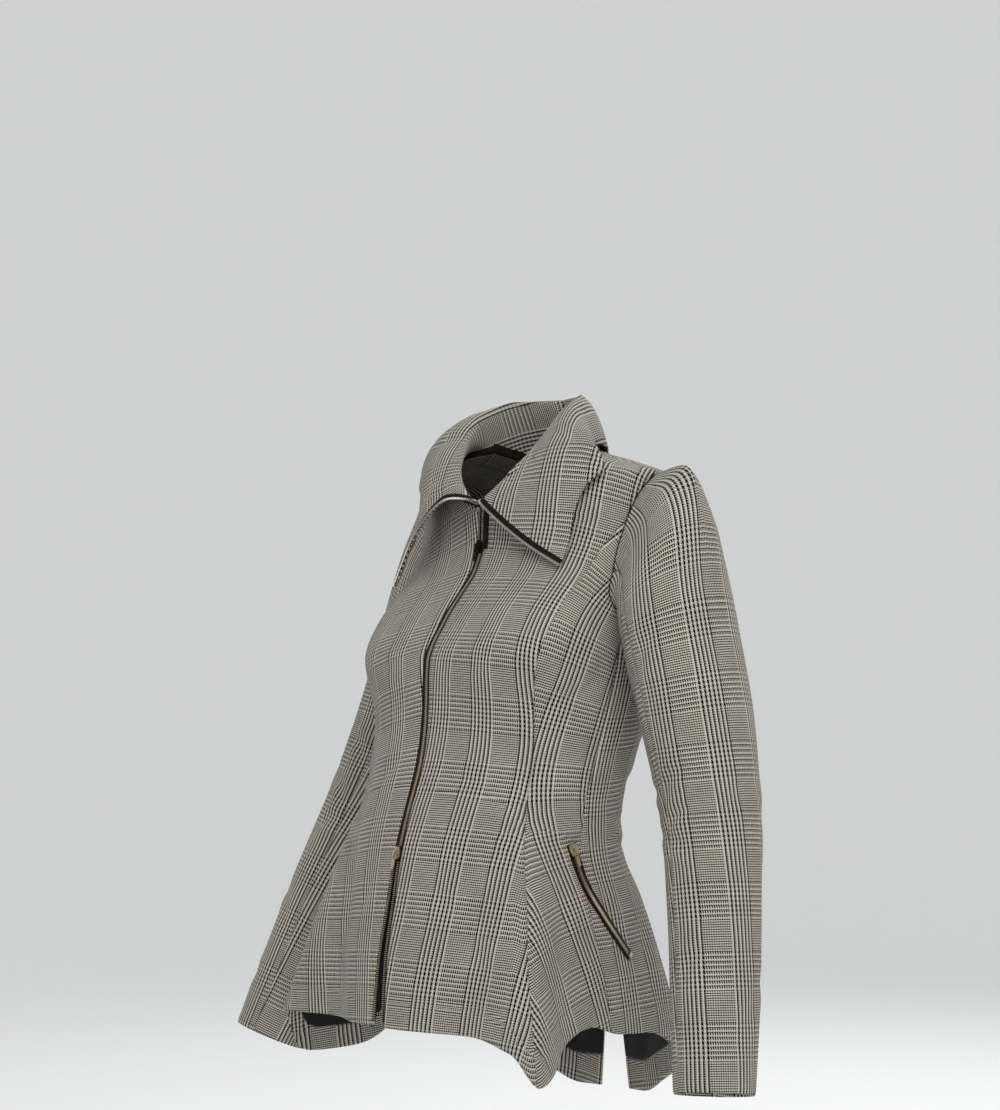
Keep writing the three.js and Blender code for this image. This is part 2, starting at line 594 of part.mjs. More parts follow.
function sliderGeometry() {
  const w = slider.width / 2, l = slider.length / 2;
  const plate = new THREE.Shape();
  plate.moveTo(-w * 0.7, -l);
  plate.lineTo(w * 0.7, -l);
  plate.lineTo(w, -l * 0.2);
  plate.absarc(w - 2, l - 2, 2, 0, Math.PI / 2);
  plate.absarc(2 - w, l - 2, 2, Math.PI / 2, Math.PI);
  plate.lineTo(-w, -l * 0.2);
  plate.closePath();
  const bridge = new THREE.Shape();
  const half = slider.bridgeLength / 2, high = slider.bridgeHeight;
  bridge.moveTo(-half, -0.5);
  bridge.lineTo(half, -0.5);
  bridge.lineTo(half, high - 1);
  bridge.lineTo(half - 1, high);
  bridge.lineTo(1 - half, high);
  bridge.lineTo(-half, high - 1);
  bridge.closePath();
  const hole = new THREE.Path();
  hole.moveTo(-half + 1, 0.35);
  hole.lineTo(-half + 1, high - 0.75);
  hole.lineTo(half - 1, high - 0.75);
  hole.lineTo(half - 1, 0.35);
  hole.closePath();
  bridge.holes.push(hole);
  const arch = extrude(bridge, slider.bridgeWidth);
  arch.translate(0, 0, -slider.bridgeWidth / 2);
  arch.rotateX(Math.PI / 2);
  arch.rotateZ(Math.PI / 2);
  arch.translate(0, 0, slider.thickness);
  return join(extrude(plate, slider.thickness), arch);
}

function pullGeometry() {
  const w = pull.width / 2, bar = pull.bar / 2;
  const tab = new THREE.Shape();
  tab.moveTo(-w + 0.6, bar);
  tab.lineTo(-w, bar - 0.6);
  tab.lineTo(-w * 0.75, bar - pull.length + 1);
  tab.lineTo(-w * 0.4, bar - pull.length);
  tab.lineTo(w * 0.4, bar - pull.length);
  tab.lineTo(w * 0.75, bar - pull.length + 1);
  tab.lineTo(w, bar - 0.6);
  tab.lineTo(w - 0.6, bar);
  tab.closePath();
  const eye = new THREE.Path();
  const e = pull.eyeWidth / 2;
  eye.moveTo(-e, -bar);
  eye.lineTo(e, -bar);
  eye.lineTo(e, -bar - pull.eyeLength);
  eye.lineTo(-e, -bar - pull.eyeLength);
  eye.closePath();
  tab.holes.push(eye);
  const geometry = extrude(tab, pull.thickness);
  geometry.translate(0, 0, -pull.thickness / 2);
  return geometry;
}

// A slider lying on the body, its wide end up or down, with its pull tab hanging down its length
function addSlider(name, angle, z, along, lift, wideEndDown) {
  const place = new THREE.Group();
  const normal = normalOf(bodySurface, angle, z);
  const up = along.clone().addScaledVector(normal, -along.dot(normal)).normalize();
  place.matrix.makeBasis(up.clone().cross(normal), up, normal)
    .setPosition(bodySurface(angle, z).addScaledVector(normal, lift));
  place.matrix.decompose(place.position, place.quaternion, place.scale);
  const body = new THREE.Mesh(sliderGeometry(), brass);
  body.name = `${name}_slider`;
  body.rotation.z = wideEndDown ? Math.PI : 0;
  const tab = new THREE.Mesh(pullGeometry(), brass);
  tab.name = `${name}_pull`;
  tab.position.set(0, pull.at, slider.thickness + pull.height);
  place.add(body, tab);
  jacket.add(place);
}

addSlider('zip', 0, frontZip.foot + frontZip.slider / 2, new THREE.Vector3(0, 0, 1), 0.6, true);
addSlider('zip_top', 0, frontZip.top + 6.2, new THREE.Vector3(0, 0, 1), 1.3, false);

for (const [sideName, side] of [['left', 1], ['right', -1]]) {
  const middle = (at) => {
    const p = lookUp(pocketLine, 'at', at);
    return bodySurface(side * p.angle, p.z);
  };
  // A strip along the pocket opening, `width` wide, moved out from the panels
  const strip = (from, to, width, lift, count = 12) => steps(count).map((t) => {
    const at = lerp(from, to, t);
    const p = lookUp(pocketLine, 'at', at);
    const normal = normalOf(bodySurface, side * p.angle, p.z);
    const along = middle(Math.min(at + 0.05, 5)).sub(middle(Math.max(at - 0.05, 0))).normalize();
    const across = along.cross(normal).normalize();
    const centre = middle(at).addScaledVector(normal, lift);
    return [-width / 2, width / 2].map((x) => centre.clone().addScaledVector(across, x));
  });
  const { width, chain, lift, thickness } = pocketZip;
  const pocket = `pocket_${sideName}`;
  wall(`${pocket}_tape`, strip(0, 5, width, lift + thickness), strip(0, 5, width, lift), tape);
  const base = lift + thickness + seamGap;
  wall(`${pocket}_chain`, strip(0.85, 4.75, chain, base + 1.2), strip(0.85, 4.75, chain, base), brass);
  wall(`${pocket}_stop`, strip(4.8, 4.95, 5, base + 1.6, 1), strip(4.8, 4.95, 5, base, 1), brass);
  const start = lookUp(pocketLine, 'at', 0.38);
  addSlider(pocket, side * start.angle, start.z, middle(0).sub(middle(0.9)), base, false);
}

export default jacket;
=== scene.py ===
import math
import bpy
import numpy as np
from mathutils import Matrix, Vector


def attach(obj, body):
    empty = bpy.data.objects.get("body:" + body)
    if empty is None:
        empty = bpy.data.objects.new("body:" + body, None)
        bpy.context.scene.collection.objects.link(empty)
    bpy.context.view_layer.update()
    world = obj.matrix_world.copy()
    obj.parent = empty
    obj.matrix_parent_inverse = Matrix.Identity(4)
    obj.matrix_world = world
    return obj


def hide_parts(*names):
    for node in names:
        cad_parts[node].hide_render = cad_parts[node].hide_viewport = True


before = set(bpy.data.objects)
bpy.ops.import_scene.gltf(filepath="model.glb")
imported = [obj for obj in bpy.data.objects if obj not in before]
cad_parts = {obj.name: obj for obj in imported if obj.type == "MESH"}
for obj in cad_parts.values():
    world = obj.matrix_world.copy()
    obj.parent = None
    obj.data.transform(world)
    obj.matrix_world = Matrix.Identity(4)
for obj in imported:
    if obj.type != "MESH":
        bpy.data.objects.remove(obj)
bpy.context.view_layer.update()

# Lengths in this script are millimetres up to the point where a mesh is made
mm = 0.001
bothSides = (("left", 1), ("right", -1))

print("peplum jacket: frame loaded")


# Cloth and seams
cloth = {
    "wool": 2.0,
    "lining": 1.0,
    "seamGap": 0.3,
    "seamDip": 0.7,      # how far the cloth sinks into a seam
    "seamReach": 3.2,    # and over what width
    "hemRoll": 0.6,
    "leastShare": 0.31,  # of a sheet's width times length that its area takes up
}


def table(names, *rows):
    columns = np.array(rows, float).T
    return dict(zip(names.split(), columns))


# Body sections from the neck down: half width, y of the centre front, the sides and the centre back
bodySections = table(
    "z half front side back turn square",
    (12, 52, -44, 6, 54, 8, 2), (0, 62, -48, 12, 66, 8, 2), (-12, 91, -50, 20, 76, 8, 2),
    (-22, 128, -51, 28, 86, 8, 2), (-36, 166, -42, 32, 95, 8, 2), (-62, 162, -44, 32, 106, 8, 2.2),
    (-93, 159, -45, 32, 112, 8, 2.5), (-120, 158, -53, 31, 114, 8, 2.8), (-145, 157, -71, 28, 114, 8, 2.8),
    (-170, 155, -91, 22, 111, 7, 2.7), (-209, 152, -115, 8, 103, 5, 2.5), (-260, 146, -122, -10, 88, 3, 2.2),
    (-300, 141, -132, -26, 74, 1, 2.1), (-345, 138, -149, -42, 63, 0, 2), (-381, 138, -160, -45, 66, 0, 2),
    (-430, 140, -170, -38, 90, 0, 2), (-480, 139, -180, -33, 110, 0, 2), (-545, 138, -186, -30, 128, 0, 2),
    (-640, 138, -192, -30, 136, 0, 2),
)

# Angle round the body of each lengthwise seam at each height
frontSeam = table(
    "z angle",
    (-80, 74), (-105, 61), (-140, 53), (-185, 48), (-230, 47), (-300, 51), (-365, 54), (-450, 55.5),
    (-640, 60.5),
)
sideSeam = table(
    "z angle",
    (-170, 90), (-200, 83.5), (-280, 82.5), (-365, 82), (-430, 84), (-475, 87.5), (-510, 91), (-640, 97),
)
backSeam = table("z angle", (-82, 107), (-140, 121), (-200, 131), (-345, 136), (-450, 131), (-640, 127))

fullness = {"angle": 44, "z": -182, "reach": 15, "wide": 24, "high": 62}

flutes = {
    "left": [
        {"seam": frontSeam, "off": 0, "reach": 54, "before": 13, "behind": 10, "start": -340, "hem": -583},
        {"seam": backSeam, "off": 0, "reach": 26, "before": 17, "behind": 20, "start": -380, "hem": -600},
    ],
    "right": [
        {"seam": frontSeam, "off": 3, "reach": 78, "before": 13, "behind": 13, "start": -345, "hem": -560},
        {"seam": backSeam, "off": 0, "reach": 27, "before": 18, "behind": 20, "start": -378, "hem": -600},
    ],
}

hemLine = {
    "left": table(
        "angle z",
        (0, -541), (39, -545), (52, -557), (59.5, -585), (65, -575), (71, -556), (84, -542), (97, -551),
        (114, -554), (132, -586), (146, -608), (162, -626), (180, -627),
    ),
    "right": table(
        "angle z",
        (0, -541), (39, -541), (56, -541), (62, -546), (70, -585), (77, -580), (88, -556), (98, -551),
        (114, -554), (132, -586), (146, -608), (162, -626), (180, -627),
    ),
}

frontNeck = table("angle z", (0, -62), (12, -52), (24, -36), (42, -18), (64, -6), (90, 0))
backNeck = table("angle z", (180, -14), (160, -12), (138, -8), (114, -3), (90, 0))
armhole = table(
    "turn angle z",
    (0, 90, -36), (30, 81, -50), (60, 74, -80), (90, 71, -108), (120, 72, -138), (150, 79, -161),
    (180, 90, -170), (210, 101, -162), (240, 108, -140), (270, 110, -112), (300, 107, -82), (330, 99, -51),
    (360, 90, -36),
)
frontOpening = table("z x", (-58, 4.6), (-390, 4.6), (-560, 8), (-640, 9))
backOpening = table("z x", (0, 0.15), (-420, 0.15), (-480, 4), (-640, 21))
notches = {"front": 60, "underarm": 180, "back": 300}


# Smooth curve through a table: every column at each value of one of them
def lookUp(rows, key, value):
    x = rows[key]
    sign = 1 if x[1] > x[0] else -1
    value = np.asarray(value, float)
    i = np.clip(np.searchsorted(sign * x, sign * value, side="left") - 1, 0, len(x) - 2)
    span = x[i + 1] - x[i]
    t = np.clip((value - x[i]) / span, 0, 1)
    found = {}
    for name, y in rows.items():
        step = np.diff(y) / np.diff(x)
        before, after = step[:-1], step[1:]
        both = before + after
        middle = np.where(before * after > 0, 2 * before * after / np.where(both == 0, 1, both), 0)
        slope = np.concatenate([step[:1], middle, step[-1:]])
        found[name] = (
            y[i] * (2 * t**3 - 3 * t * t + 1) + slope[i] * span * (t**3 - 2 * t * t + t)
            + y[i + 1] * (3 * t * t - 2 * t**3) + slope[i + 1] * span * (t**3 - t * t)
        )
    return found


def lerp(a, b, t):
    return a + (b - a) * t


def angleAt(x, z):
    s = lookUp(bodySections, "z", z)
    return np.degrees(np.arcsin((x / s["half"]) ** (s["square"] / 2)))


def seamAngle(seam, z):
    return lookUp(seam, "z", np.minimum(z, seam["z"][0]))["angle"]


def hemHeight(side, angle):
    return lookUp(hemLine[side], "angle", np.abs(angle))["z"]


bodyPerDegree = 2.4  # mm round the body for each degree, near enough to place creases

# Creases of the worn cloth on the body, each a soft trough with its ridges: angle and height at both ends,
# half width and depth in mm; the same list serves both sides with its own small changes
bodyCreases = {
    "left": [
        (30, -362, 66, -344, 7, 1.5), (24, -380, 60, -366, 6, 1.1), (62, -330, 84, -352, 7, 1.2),
        (66, -372, 86, -362, 6, 1.3), (56, -250, 80, -205, 9, 1.2), (40, -318, 68, -300, 8, 0.9),
        (12, -300, 36, -322, 8, 0.8), (20, -392, 30, -440, 9, 1.0),
        (36, -402, 46, -500, 10, 1.4), (70, -420, 80, -510, 10, 1.6), (92, -400, 104, -470, 9, 1.2),
        (100, -340, 128, -356, 8, 1.4), (104, -370, 134, -376, 7, 1.2), (112, -300, 134, -322, 9, 1.0),
        (140, -350, 172, -362, 8, 1.4), (146, -378, 170, -384, 7, 1.1), (108, -190, 126, -214, 9, 1.2),
        (118, -440, 122, -540, 12, 1.5), (148, -440, 152, -590, 13, 1.7), (166, -460, 168, -600, 11, 1.2),
        (150, -120, 170, -150, 12, 0.9), (8, -210, 30, -196, 9, 0.7), (48, -120, 62, -150, 8, 0.9),
    ],
    "right": [
        (26, -356, 60, -346, 7, 1.4), (30, -384, 62, -372, 6, 1.2), (60, -334, 82, -348, 7, 1.1),
        (64, -376, 88, -364, 6, 1.3), (52, -244, 78, -208, 9, 1.3), (36, -312, 64, -304, 8, 0.9),
        (10, -296, 32, -318, 8, 0.8), (16, -396, 24, -450, 9, 1.0),
        (34, -404, 42, -500, 10, 1.3), (74, -420, 84, -510, 10, 1.5), (94, -404, 106, -474, 9, 1.2),
        (102, -342, 126, -360, 8, 1.3), (106, -374, 136, -372, 7, 1.2), (114, -304, 132, -318, 9, 1.0),
        (142, -354, 170, -358, 8, 1.3), (144, -382, 172, -380, 7, 1.1), (110, -194, 128, -210, 9, 1.2),
        (116, -444, 120, -540, 12, 1.4), (146, -444, 150, -590, 13, 1.6), (168, -464, 170, -600, 11, 1.2),
        (152, -124, 172, -146, 12, 0.9), (10, -214, 28, -200, 9, 0.7), (50, -124, 60, -150, 8, 0.9),
    ],
}


# Height of soft creases at points (p, q), both in mm
def creased(p, q, creases):
    height = np.zeros(np.broadcast(p, q).shape)
    for p0, q0, p1, q1, wide, deep in creases:
        dp, dq = p1 - p0, q1 - q0
        length = math.hypot(dp, dq)
        along = ((p - p0) * dp + (q - q0) * dq) / length
        across = ((q - q0) * dp - (p - p0) * dq) / length
        across = across + 0.12 * length * np.sin(math.pi * np.clip(along / length, 0, 1)) ** 2
        soft = 0.14 * length
        ends = 1 / (1 + np.exp(-along / soft + 1)) / (1 + np.exp((along - length) / soft + 1))
        x = across / wide
        trough = 1.5 * np.exp(-(x**2) * 1.3)
        ridge, lowRidge = 1.1 * np.exp(-((x - 1.25) ** 2)), 0.7 * np.exp(-((x + 1.4) ** 2))
        height += deep * ends * (ridge - trough + lowRidge)
    return height


def standOut(side, angle, z):
    turn = np.abs(angle)
    wide, high = (turn - fullness["angle"]) / fullness["wide"], (z - fullness["z"]) / fullness["high"]
    reach = fullness["reach"] * np.exp(-wide * wide - high * high)
    for flute in flutes[side]:
        grown = np.maximum((flute["start"] - z) / (flute["start"] - flute["hem"]), 0) ** 1.05
        off = turn - seamAngle(flute["seam"], z) - flute["off"] * grown
        spread = np.where(off < 0, flute["before"], flute["behind"])
        reach = reach + flute["reach"] * grown * np.exp(-((off / spread) ** 2))
    return reach


# A point of the body's outer face; the angle is signed, the wearer's left being positive
def bodySurface(side, angle, z, creasesToo=False):
    s = lookUp(bodySections, "z", z)
    cos, sin = np.cos(np.radians(angle)), np.sin(np.radians(angle))
    power = 2 / s["square"]
    x = s["half"] * np.sign(sin) * np.abs(sin) ** power
    deep = np.where(cos > 0, s["side"] - s["front"], s["back"] - s["side"])
    y = -np.sign(cos) * np.abs(cos) ** power * deep
    reach = standOut(side, angle, z)
    if creasesToo:
        per = bodyPerDegree
        listed = [(per * a, b, per * c, d, e, f) for a, b, c, d, e, f in bodyCreases[side]]
        reach = reach + creased(per * np.abs(angle), z, listed)
    out = 1 + reach / np.hypot(x, y)
    turn = np.radians(s["turn"])
    return np.stack([
        out * (x * np.cos(turn) + y * np.sin(turn)),
        s["side"] + out * (y * np.cos(turn) - x * np.sin(turn)),
        z + 0 * x,
    ], -1)


def unit(v):
    return v / np.maximum(np.linalg.norm(v, axis=-1, keepdims=True), 1e-9)


def bodyNormal(side, angle, z):
    along = bodySurface(side, angle + 0.4, z) - bodySurface(side, angle - 0.4, z)
    up = bodySurface(side, angle, z + 0.4) - bodySurface(side, angle, z - 0.4)
    return unit(np.cross(along, up))


# Normals of a grid of points, with row 0 at the bottom and columns running round
def gridNormals(points):
    down = np.gradient(points, axis=0)
    across = np.gradient(points, axis=1)
    return unit(np.cross(across, down))


def makeMesh(name, points, faces, material, uv=None, smooth=True):
    mesh = bpy.data.meshes.new(name)
    mesh.from_pydata((np.asarray(points) * mm).tolist(), [], faces)
    if uv is not None:
        layer = mesh.uv_layers.new(name="cut")
        loops = np.zeros(len(mesh.loops), int)
        mesh.loops.foreach_get("vertex_index", loops)
        layer.data.foreach_set("uv", (np.asarray(uv)[loops] * mm).ravel())
    mesh.polygons.foreach_set("use_smooth", [smooth] * len(mesh.polygons))
    mesh.materials.append(material)
    piece = bpy.data.objects.new(name, mesh)
    bpy.context.scene.collection.objects.link(piece)
    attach(piece, "jacket")
    return piece


# How much the cloth sinks at its edges: rounded into seams, hems and fronts
def edgeDip(points, edges):
    rows, columns = points.shape[:2]
    acrossStep = np.linalg.norm(np.diff(points, axis=1), axis=-1)
    alongStep = np.linalg.norm(np.diff(points, axis=0), axis=-1)
    fromLeft = np.concatenate([np.zeros((rows, 1)), np.cumsum(acrossStep, 1)], 1)
    fromFoot = np.concatenate([np.zeros((1, columns)), np.cumsum(alongStep, 0)], 0)
    distance = {
        "first": fromLeft, "last": fromLeft[:, -1:] - fromLeft,
        "foot": fromFoot, "top": fromFoot[-1:] - fromFoot,
    }
    dip = np.zeros((rows, columns))
    for edge, deep in edges.items():
        dip = np.maximum(dip, deep * np.exp(-((distance[edge] / cloth["seamReach"]) ** 2) * 1.6))
    return dip


# A closed sheet from a grid of its outer face, `thick` mm inward along the normals
def makeSheet(name, points, material, thick, uv, edges=(), outward=1):
    rows, columns = points.shape[:2]
    normals = gridNormals(points) * outward
    outer = points - normals * edgeDip(points, dict(edges))[..., None]
    inner = points - normals * thick
    index = np.arange(rows * columns).reshape(rows, columns)
    back = rows * columns
    a, b, c, d = index[:-1, :-1], index[:-1, 1:], index[1:, 1:], index[1:, :-1]
    front = np.stack([a, b, c, d], -1).reshape(-1, 4)
    rear = np.stack([a, d, c, b], -1).reshape(-1, 4) + back
    rim = []
    for line in (index[0], index[:, -1], index[-1][::-1], index[:, 0][::-1]):
        low, high = line[:-1], line[1:]
        rim.append(np.stack([low + back, high + back, high, low], -1))
    faces = np.concatenate([front, rear, *rim])
    if outward < 0:
        faces = faces[:, ::-1]
    both = np.concatenate([outer.reshape(-1, 3), inner.reshape(-1, 3)])
    flat = np.concatenate([uv.reshape(-1, 2)] * 2)
    return makeMesh(name, both, faces.tolist(), material, flat)


# Distances along the rows of a grid, from its first column
def acrossRows(points):
    step = np.linalg.norm(np.diff(points, axis=1), axis=-1)
    return np.concatenate([np.zeros((len(points), 1)), np.cumsum(step, 1)], 1)


def onPath(path):
    step = np.linalg.norm(np.diff(path, axis=0), axis=-1)
    return np.concatenate([[0], np.cumsum(step)])


# Unrolls a grid of a curved sheet flat, each small piece kept as near its true shape as the rest allows
def flatten(points, rows=56, columns=18, rounds=14):
    r = np.unique(np.linspace(0, points.shape[0] - 1, rows).round().astype(int))
    c = np.unique(np.linspace(0, points.shape[1] - 1, columns).round().astype(int))
    p = points[np.ix_(r, c)]
    middle = len(c) // 2
    across = acrossRows(p)
    flat = np.stack([across - across[:, middle:middle + 1], 0 * across + onPath(p[:, middle])[:, None]], -1)
    index = np.arange(p.shape[0] * p.shape[1]).reshape(p.shape[:2])
    a, b, d, e = (
        index[i:i + p.shape[0] - 1, j:j + p.shape[1] - 1].ravel() for i, j in ((0, 0), (0, 1), (1, 1), (1, 0))
    )
    corners = np.concatenate([np.stack(t, -1) for t in ((a, b, d), (a, d, e), (a, b, e), (b, d, e))])
    at = p.reshape(-1, 3)[corners]
    one, two = at[:, 1] - at[:, 0], at[:, 2] - at[:, 0]
    length = np.linalg.norm(one, axis=-1)
    along = (one * two).sum(-1) / length
    away = np.sqrt(np.maximum((two**2).sum(-1) - along**2, 1e-9))
    none = 0 * length
    true = np.stack([np.stack(pair, -1) for pair in ((none, none), (length, none), (along, away))], 1)
    weight = np.zeros((len(corners), 3))
    for k in range(3):
        u, v = true[:, (k + 1) % 3] - true[:, k], true[:, (k + 2) % 3] - true[:, k]
        cross = np.abs(u[:, 0] * v[:, 1] - u[:, 1] * v[:, 0])
        weight[:, (k + 1) % 3] = np.maximum((u * v).sum(-1) / np.maximum(cross, 1e-9), 0.02)
    count = p.shape[0] * p.shape[1]
    system = np.zeros((count, count))
    for k in range(3):
        i, j, w = corners[:, k], corners[:, (k + 1) % 3], weight[:, k]
        np.add.at(system, (i, i), w), np.add.at(system, (j, j), w)
        np.add.at(system, (i, j), -w), np.add.at(system, (j, i), -w)
    system[0, 0] += 1
    inverse = np.linalg.inv(system)
    flat = flat.reshape(-1, 2)
    for _ in range(rounds):
        now = flat[corners]
        spread = np.zeros((len(corners), 2, 2))
        for k in range(3):
            m = (k + 1) % 3
            here, there = now[:, k] - now[:, m], true[:, k] - true[:, m]
            spread += weight[:, k, None, None] * here[:, :, None] * there[:, None, :]
        angle = np.arctan2(spread[:, 1, 0] - spread[:, 0, 1], spread[:, 0, 0] + spread[:, 1, 1])
        cos, sin = np.cos(angle), np.sin(angle)
        turn = np.stack([np.stack([cos, -sin], -1), np.stack([sin, cos], -1)], 1)
        right = np.zeros((count, 2))
        right[0] += flat[0]
        for k in range(3):
            m = (k + 1) % 3
            step = weight[:, k, None] * np.einsum("nij,nj->ni", turn, true[:, k] - true[:, m])
            np.add.at(right, corners[:, k], step)
            np.add.at(right, corners[:, m], -step)
        flat = inverse @ right
    flat = flat.reshape(p.shape[0], p.shape[1], 2)
    down, side = np.arange(points.shape[0]), np.arange(points.shape[1])
    found = []
    for k in (0, 1):
        wide = np.stack([np.interp(side, c, row[:, k]) for row in flat])
        found.append(np.stack([np.interp(down, r, wide[:, j]) for j in side], 1))
    return np.stack(found, -1)


# Turns a flat pattern so that a stripe's line runs straight up it and lies at u = 0; `known` holds places
# in the pattern that the line passes through. What is left of its wander is taken out softly.
def alongGrain(flat, known, ease=45, keep=0.75):
    middle = known.mean(0)
    spread = known - middle
    up = np.linalg.svd(spread)[2][0]
    up = up * np.sign(up[1])
    across = np.array([up[1], -up[0]])
    u, v = (flat - middle) @ across, (flat - middle) @ up
    order = np.argsort(spread @ up)
    heights, wander = (spread @ up)[order], (spread @ across)[order]
    smooth = np.interp(v, heights, np.array([
        np.average(wander, weights=np.exp(-((heights - h) / ease) ** 2)) for h in heights
    ]))
    return np.stack([u - smooth * keep, v], -1)


# Panels of the body
gapAngle = 0.06
facingTop = 0.05
liningTop = lerp(0.05, 1, 5 / 12)

panelCut = {
    "front": {"columns": 46, "rows": 150, "yoke": 24},
    "side_front": {"columns": 30, "rows": 150, "yoke": 0},
    "side_back": {"columns": 34, "rows": 150, "yoke": 0},
    "back": {"columns": 44, "rows": 150, "yoke": 24},
}


def edgeUpSeam(side, seam, to, b, shift):
    z = lerp(hemHeight(side, seamAngle(seam, -600)), to, b)
    return np.array([seamAngle(seam, z) + shift * gapAngle, z])


def edgeOnCurve(curve, key, start, end, t, shift):
    found = lookUp(curve, key, lerp(start, end, t))
    return np.array([found["angle"] + shift * gapAngle, found["z"]])


def frontEdge(side, b):
    z = lerp(hemHeight(side, 3), frontNeck["z"][0], b)
    return np.array([angleAt(lookUp(frontOpening, "z", z)["x"], z), z])


def backEdge(side, b):
    z = lerp(hemHeight(side, 174), backNeck["z"][0], b)
    return np.array([180 - angleAt(lookUp(backOpening, "z", z)["x"], z), z])


def armholeAt(turn):
    found = lookUp(armhole, "turn", turn)
    return np.array([found["angle"], found["z"]])


# Both long edges of a panel as angles and heights, and the curve of its top where it meets the armhole
def panelEdges(side, name, b, yoke):
    frontTop, backTop, underarm = (armholeAt(notches[at])[1] for at in ("front", "back", "underarm"))
    top = None
    if name == "front":
        start = frontEdge(side, b)
        low = np.hstack([start, edgeOnCurve(frontNeck, "angle", start[0, -1], 90, yoke, -2)])
        high = np.hstack([
            edgeUpSeam(side, frontSeam, frontTop, b, -1),
            edgeOnCurve(armhole, "turn", notches["front"], 0, yoke, -2),
        ])
    elif name == "side_front":
        low = edgeUpSeam(side, frontSeam, frontTop, b, 1)
        high = edgeUpSeam(side, sideSeam, underarm, b, -1)
        top = ("front", "underarm")
    elif name == "side_back":
        low = edgeUpSeam(side, sideSeam, underarm, b, 1)
        high = edgeUpSeam(side, backSeam, backTop, b, -1)
        top = ("underarm", "back")
    else:
        low = np.hstack([
            edgeUpSeam(side, backSeam, backTop, b, 1),
            edgeOnCurve(armhole, "turn", notches["back"], 360, yoke, 2),
        ])
        high = np.hstack([backEdge(side, b), edgeOnCurve(backNeck, "angle", 180, 90, yoke, 2)])
    return low, high, top


def panelGrid(side, name):
    cut = panelCut[name]
    b = np.unique(np.concatenate([np.linspace(0, 1, cut["rows"]), [facingTop, liningTop]]))
    yoke = np.linspace(0, 1, cut["yoke"] + 1)[1:]
    low, high, top = panelEdges(side, name, b, yoke)
    b = np.concatenate([b, np.ones(len(yoke))])[:, None]
    a = np.linspace(0, 1, cut["columns"])[None]
    angle = lerp(low[0][:, None], high[0][:, None], a)
    hemShape = hemHeight(side, lerp(low[0, 0], high[0, 0], a)) - lerp(low[1, 0], high[1, 0], a)
    z = lerp(low[1][:, None], high[1][:, None], a) + (1 - b) * hemShape
    if top:
        edge = armholeAt(lerp(notches[top[0]], notches[top[1]], a))
        z = z + b**3 * (edge[1] - lerp(low[1, -1], high[1, -1], a))
        angle = angle + b**3 * (edge[0] - lerp(low[0, -1], high[0, -1], a))
    sign = 1 if side == "left" else -1
    return bodySurface(side, sign * angle, z, creasesToo=True), b[:, 0], angle, z


# Where the check lies on each panel: how far a bold stripe group's middle lies from the panel's first edge
# at each height
grain = {
    "front_left": table(
        "z line",
        (-40, 80), (-106, 78), (-157, 74), (-191, 71), (-243, 71), (-300, 70),
        (-340, 64), (-372, 58.6), (-432, 55), (-492, 44), (-533, 36), (-590, 24),
    ),
    "front_right": table(
        "z line",
        (-40, 56), (-125, 53), (-188, 48), (-274, 36), (-319, 38), (-372, 34),
        (-432, 30), (-560, 10),
    ),
    "side_front": table(
        "z line",
        (-145, 38), (-198, 40), (-276, 17), (-316, 4), (-344, 8), (-395, 34),
        (-421, 53), (-454, 68), (-492, 104), (-515, 132), (-534, 157), (-560, 190),
    ),
    "side_back": table(
        "z line",
        (-170, 20), (-300, 8), (-352, 8), (-376, 10), (-413, 22), (-446, 32), (-496, 38),
        (-522, 41), (-553, 49), (-600, 60),
    ),
    "back": table("z line", (-40, -49), (-340, -49), (-600, -49)),
}
bandHeight = -144  # where a crosswise band lies on every panel, so that the bands meet at the seams


def arc(points):
    return np.linalg.norm(np.diff(points, axis=0), axis=-1).sum(0)


# Place on the flat cloth of each point of a panel: across the grain from a stripe's line, up it from a band
def clothUv(side, name, points, angle, z):
    sign = 1 if side == "left" else -1
    start = {
        "front": angleAt(lookUp(frontOpening, "z", z)["x"], np.minimum(z, -20)),
        "side_front": seamAngle(frontSeam, z), "side_back": seamAngle(sideSeam, z), "back": 180 + 0 * z,
    }[name]
    share = np.linspace(0, 1, 30)[:, None, None]
    s = arc(bodySurface(side, sign * lerp(start, angle, share), z + 0 * share)) * np.sign(angle - start)
    off = s - lookUp(grain.get(f"{name}_{side}") or grain[name], "z", z)["line"]
    flat = flatten(points)
    known = []
    for r in range(len(points)):
        turned = np.nonzero(off[r, :-1] * off[r, 1:] < 0)[0]
        if len(turned):
            c = turned[0]
            t = off[r, c] / (off[r, c] - off[r, c + 1])
            known.append(lerp(flat[r, c], flat[r, c + 1], t))
    uv = alongGrain(flat, np.array(known))
    nearest = np.abs(z - bandHeight) + 0.02 * np.abs(off)
    r, c = np.unravel_index(nearest.argmin(), nearest.shape)
    uv[..., 1] += z[r, c] - bandHeight - uv[r, c, 1]
    return uv * np.array([sign if uv[0, -1, 0] > uv[0, 0, 0] else -sign, 1])


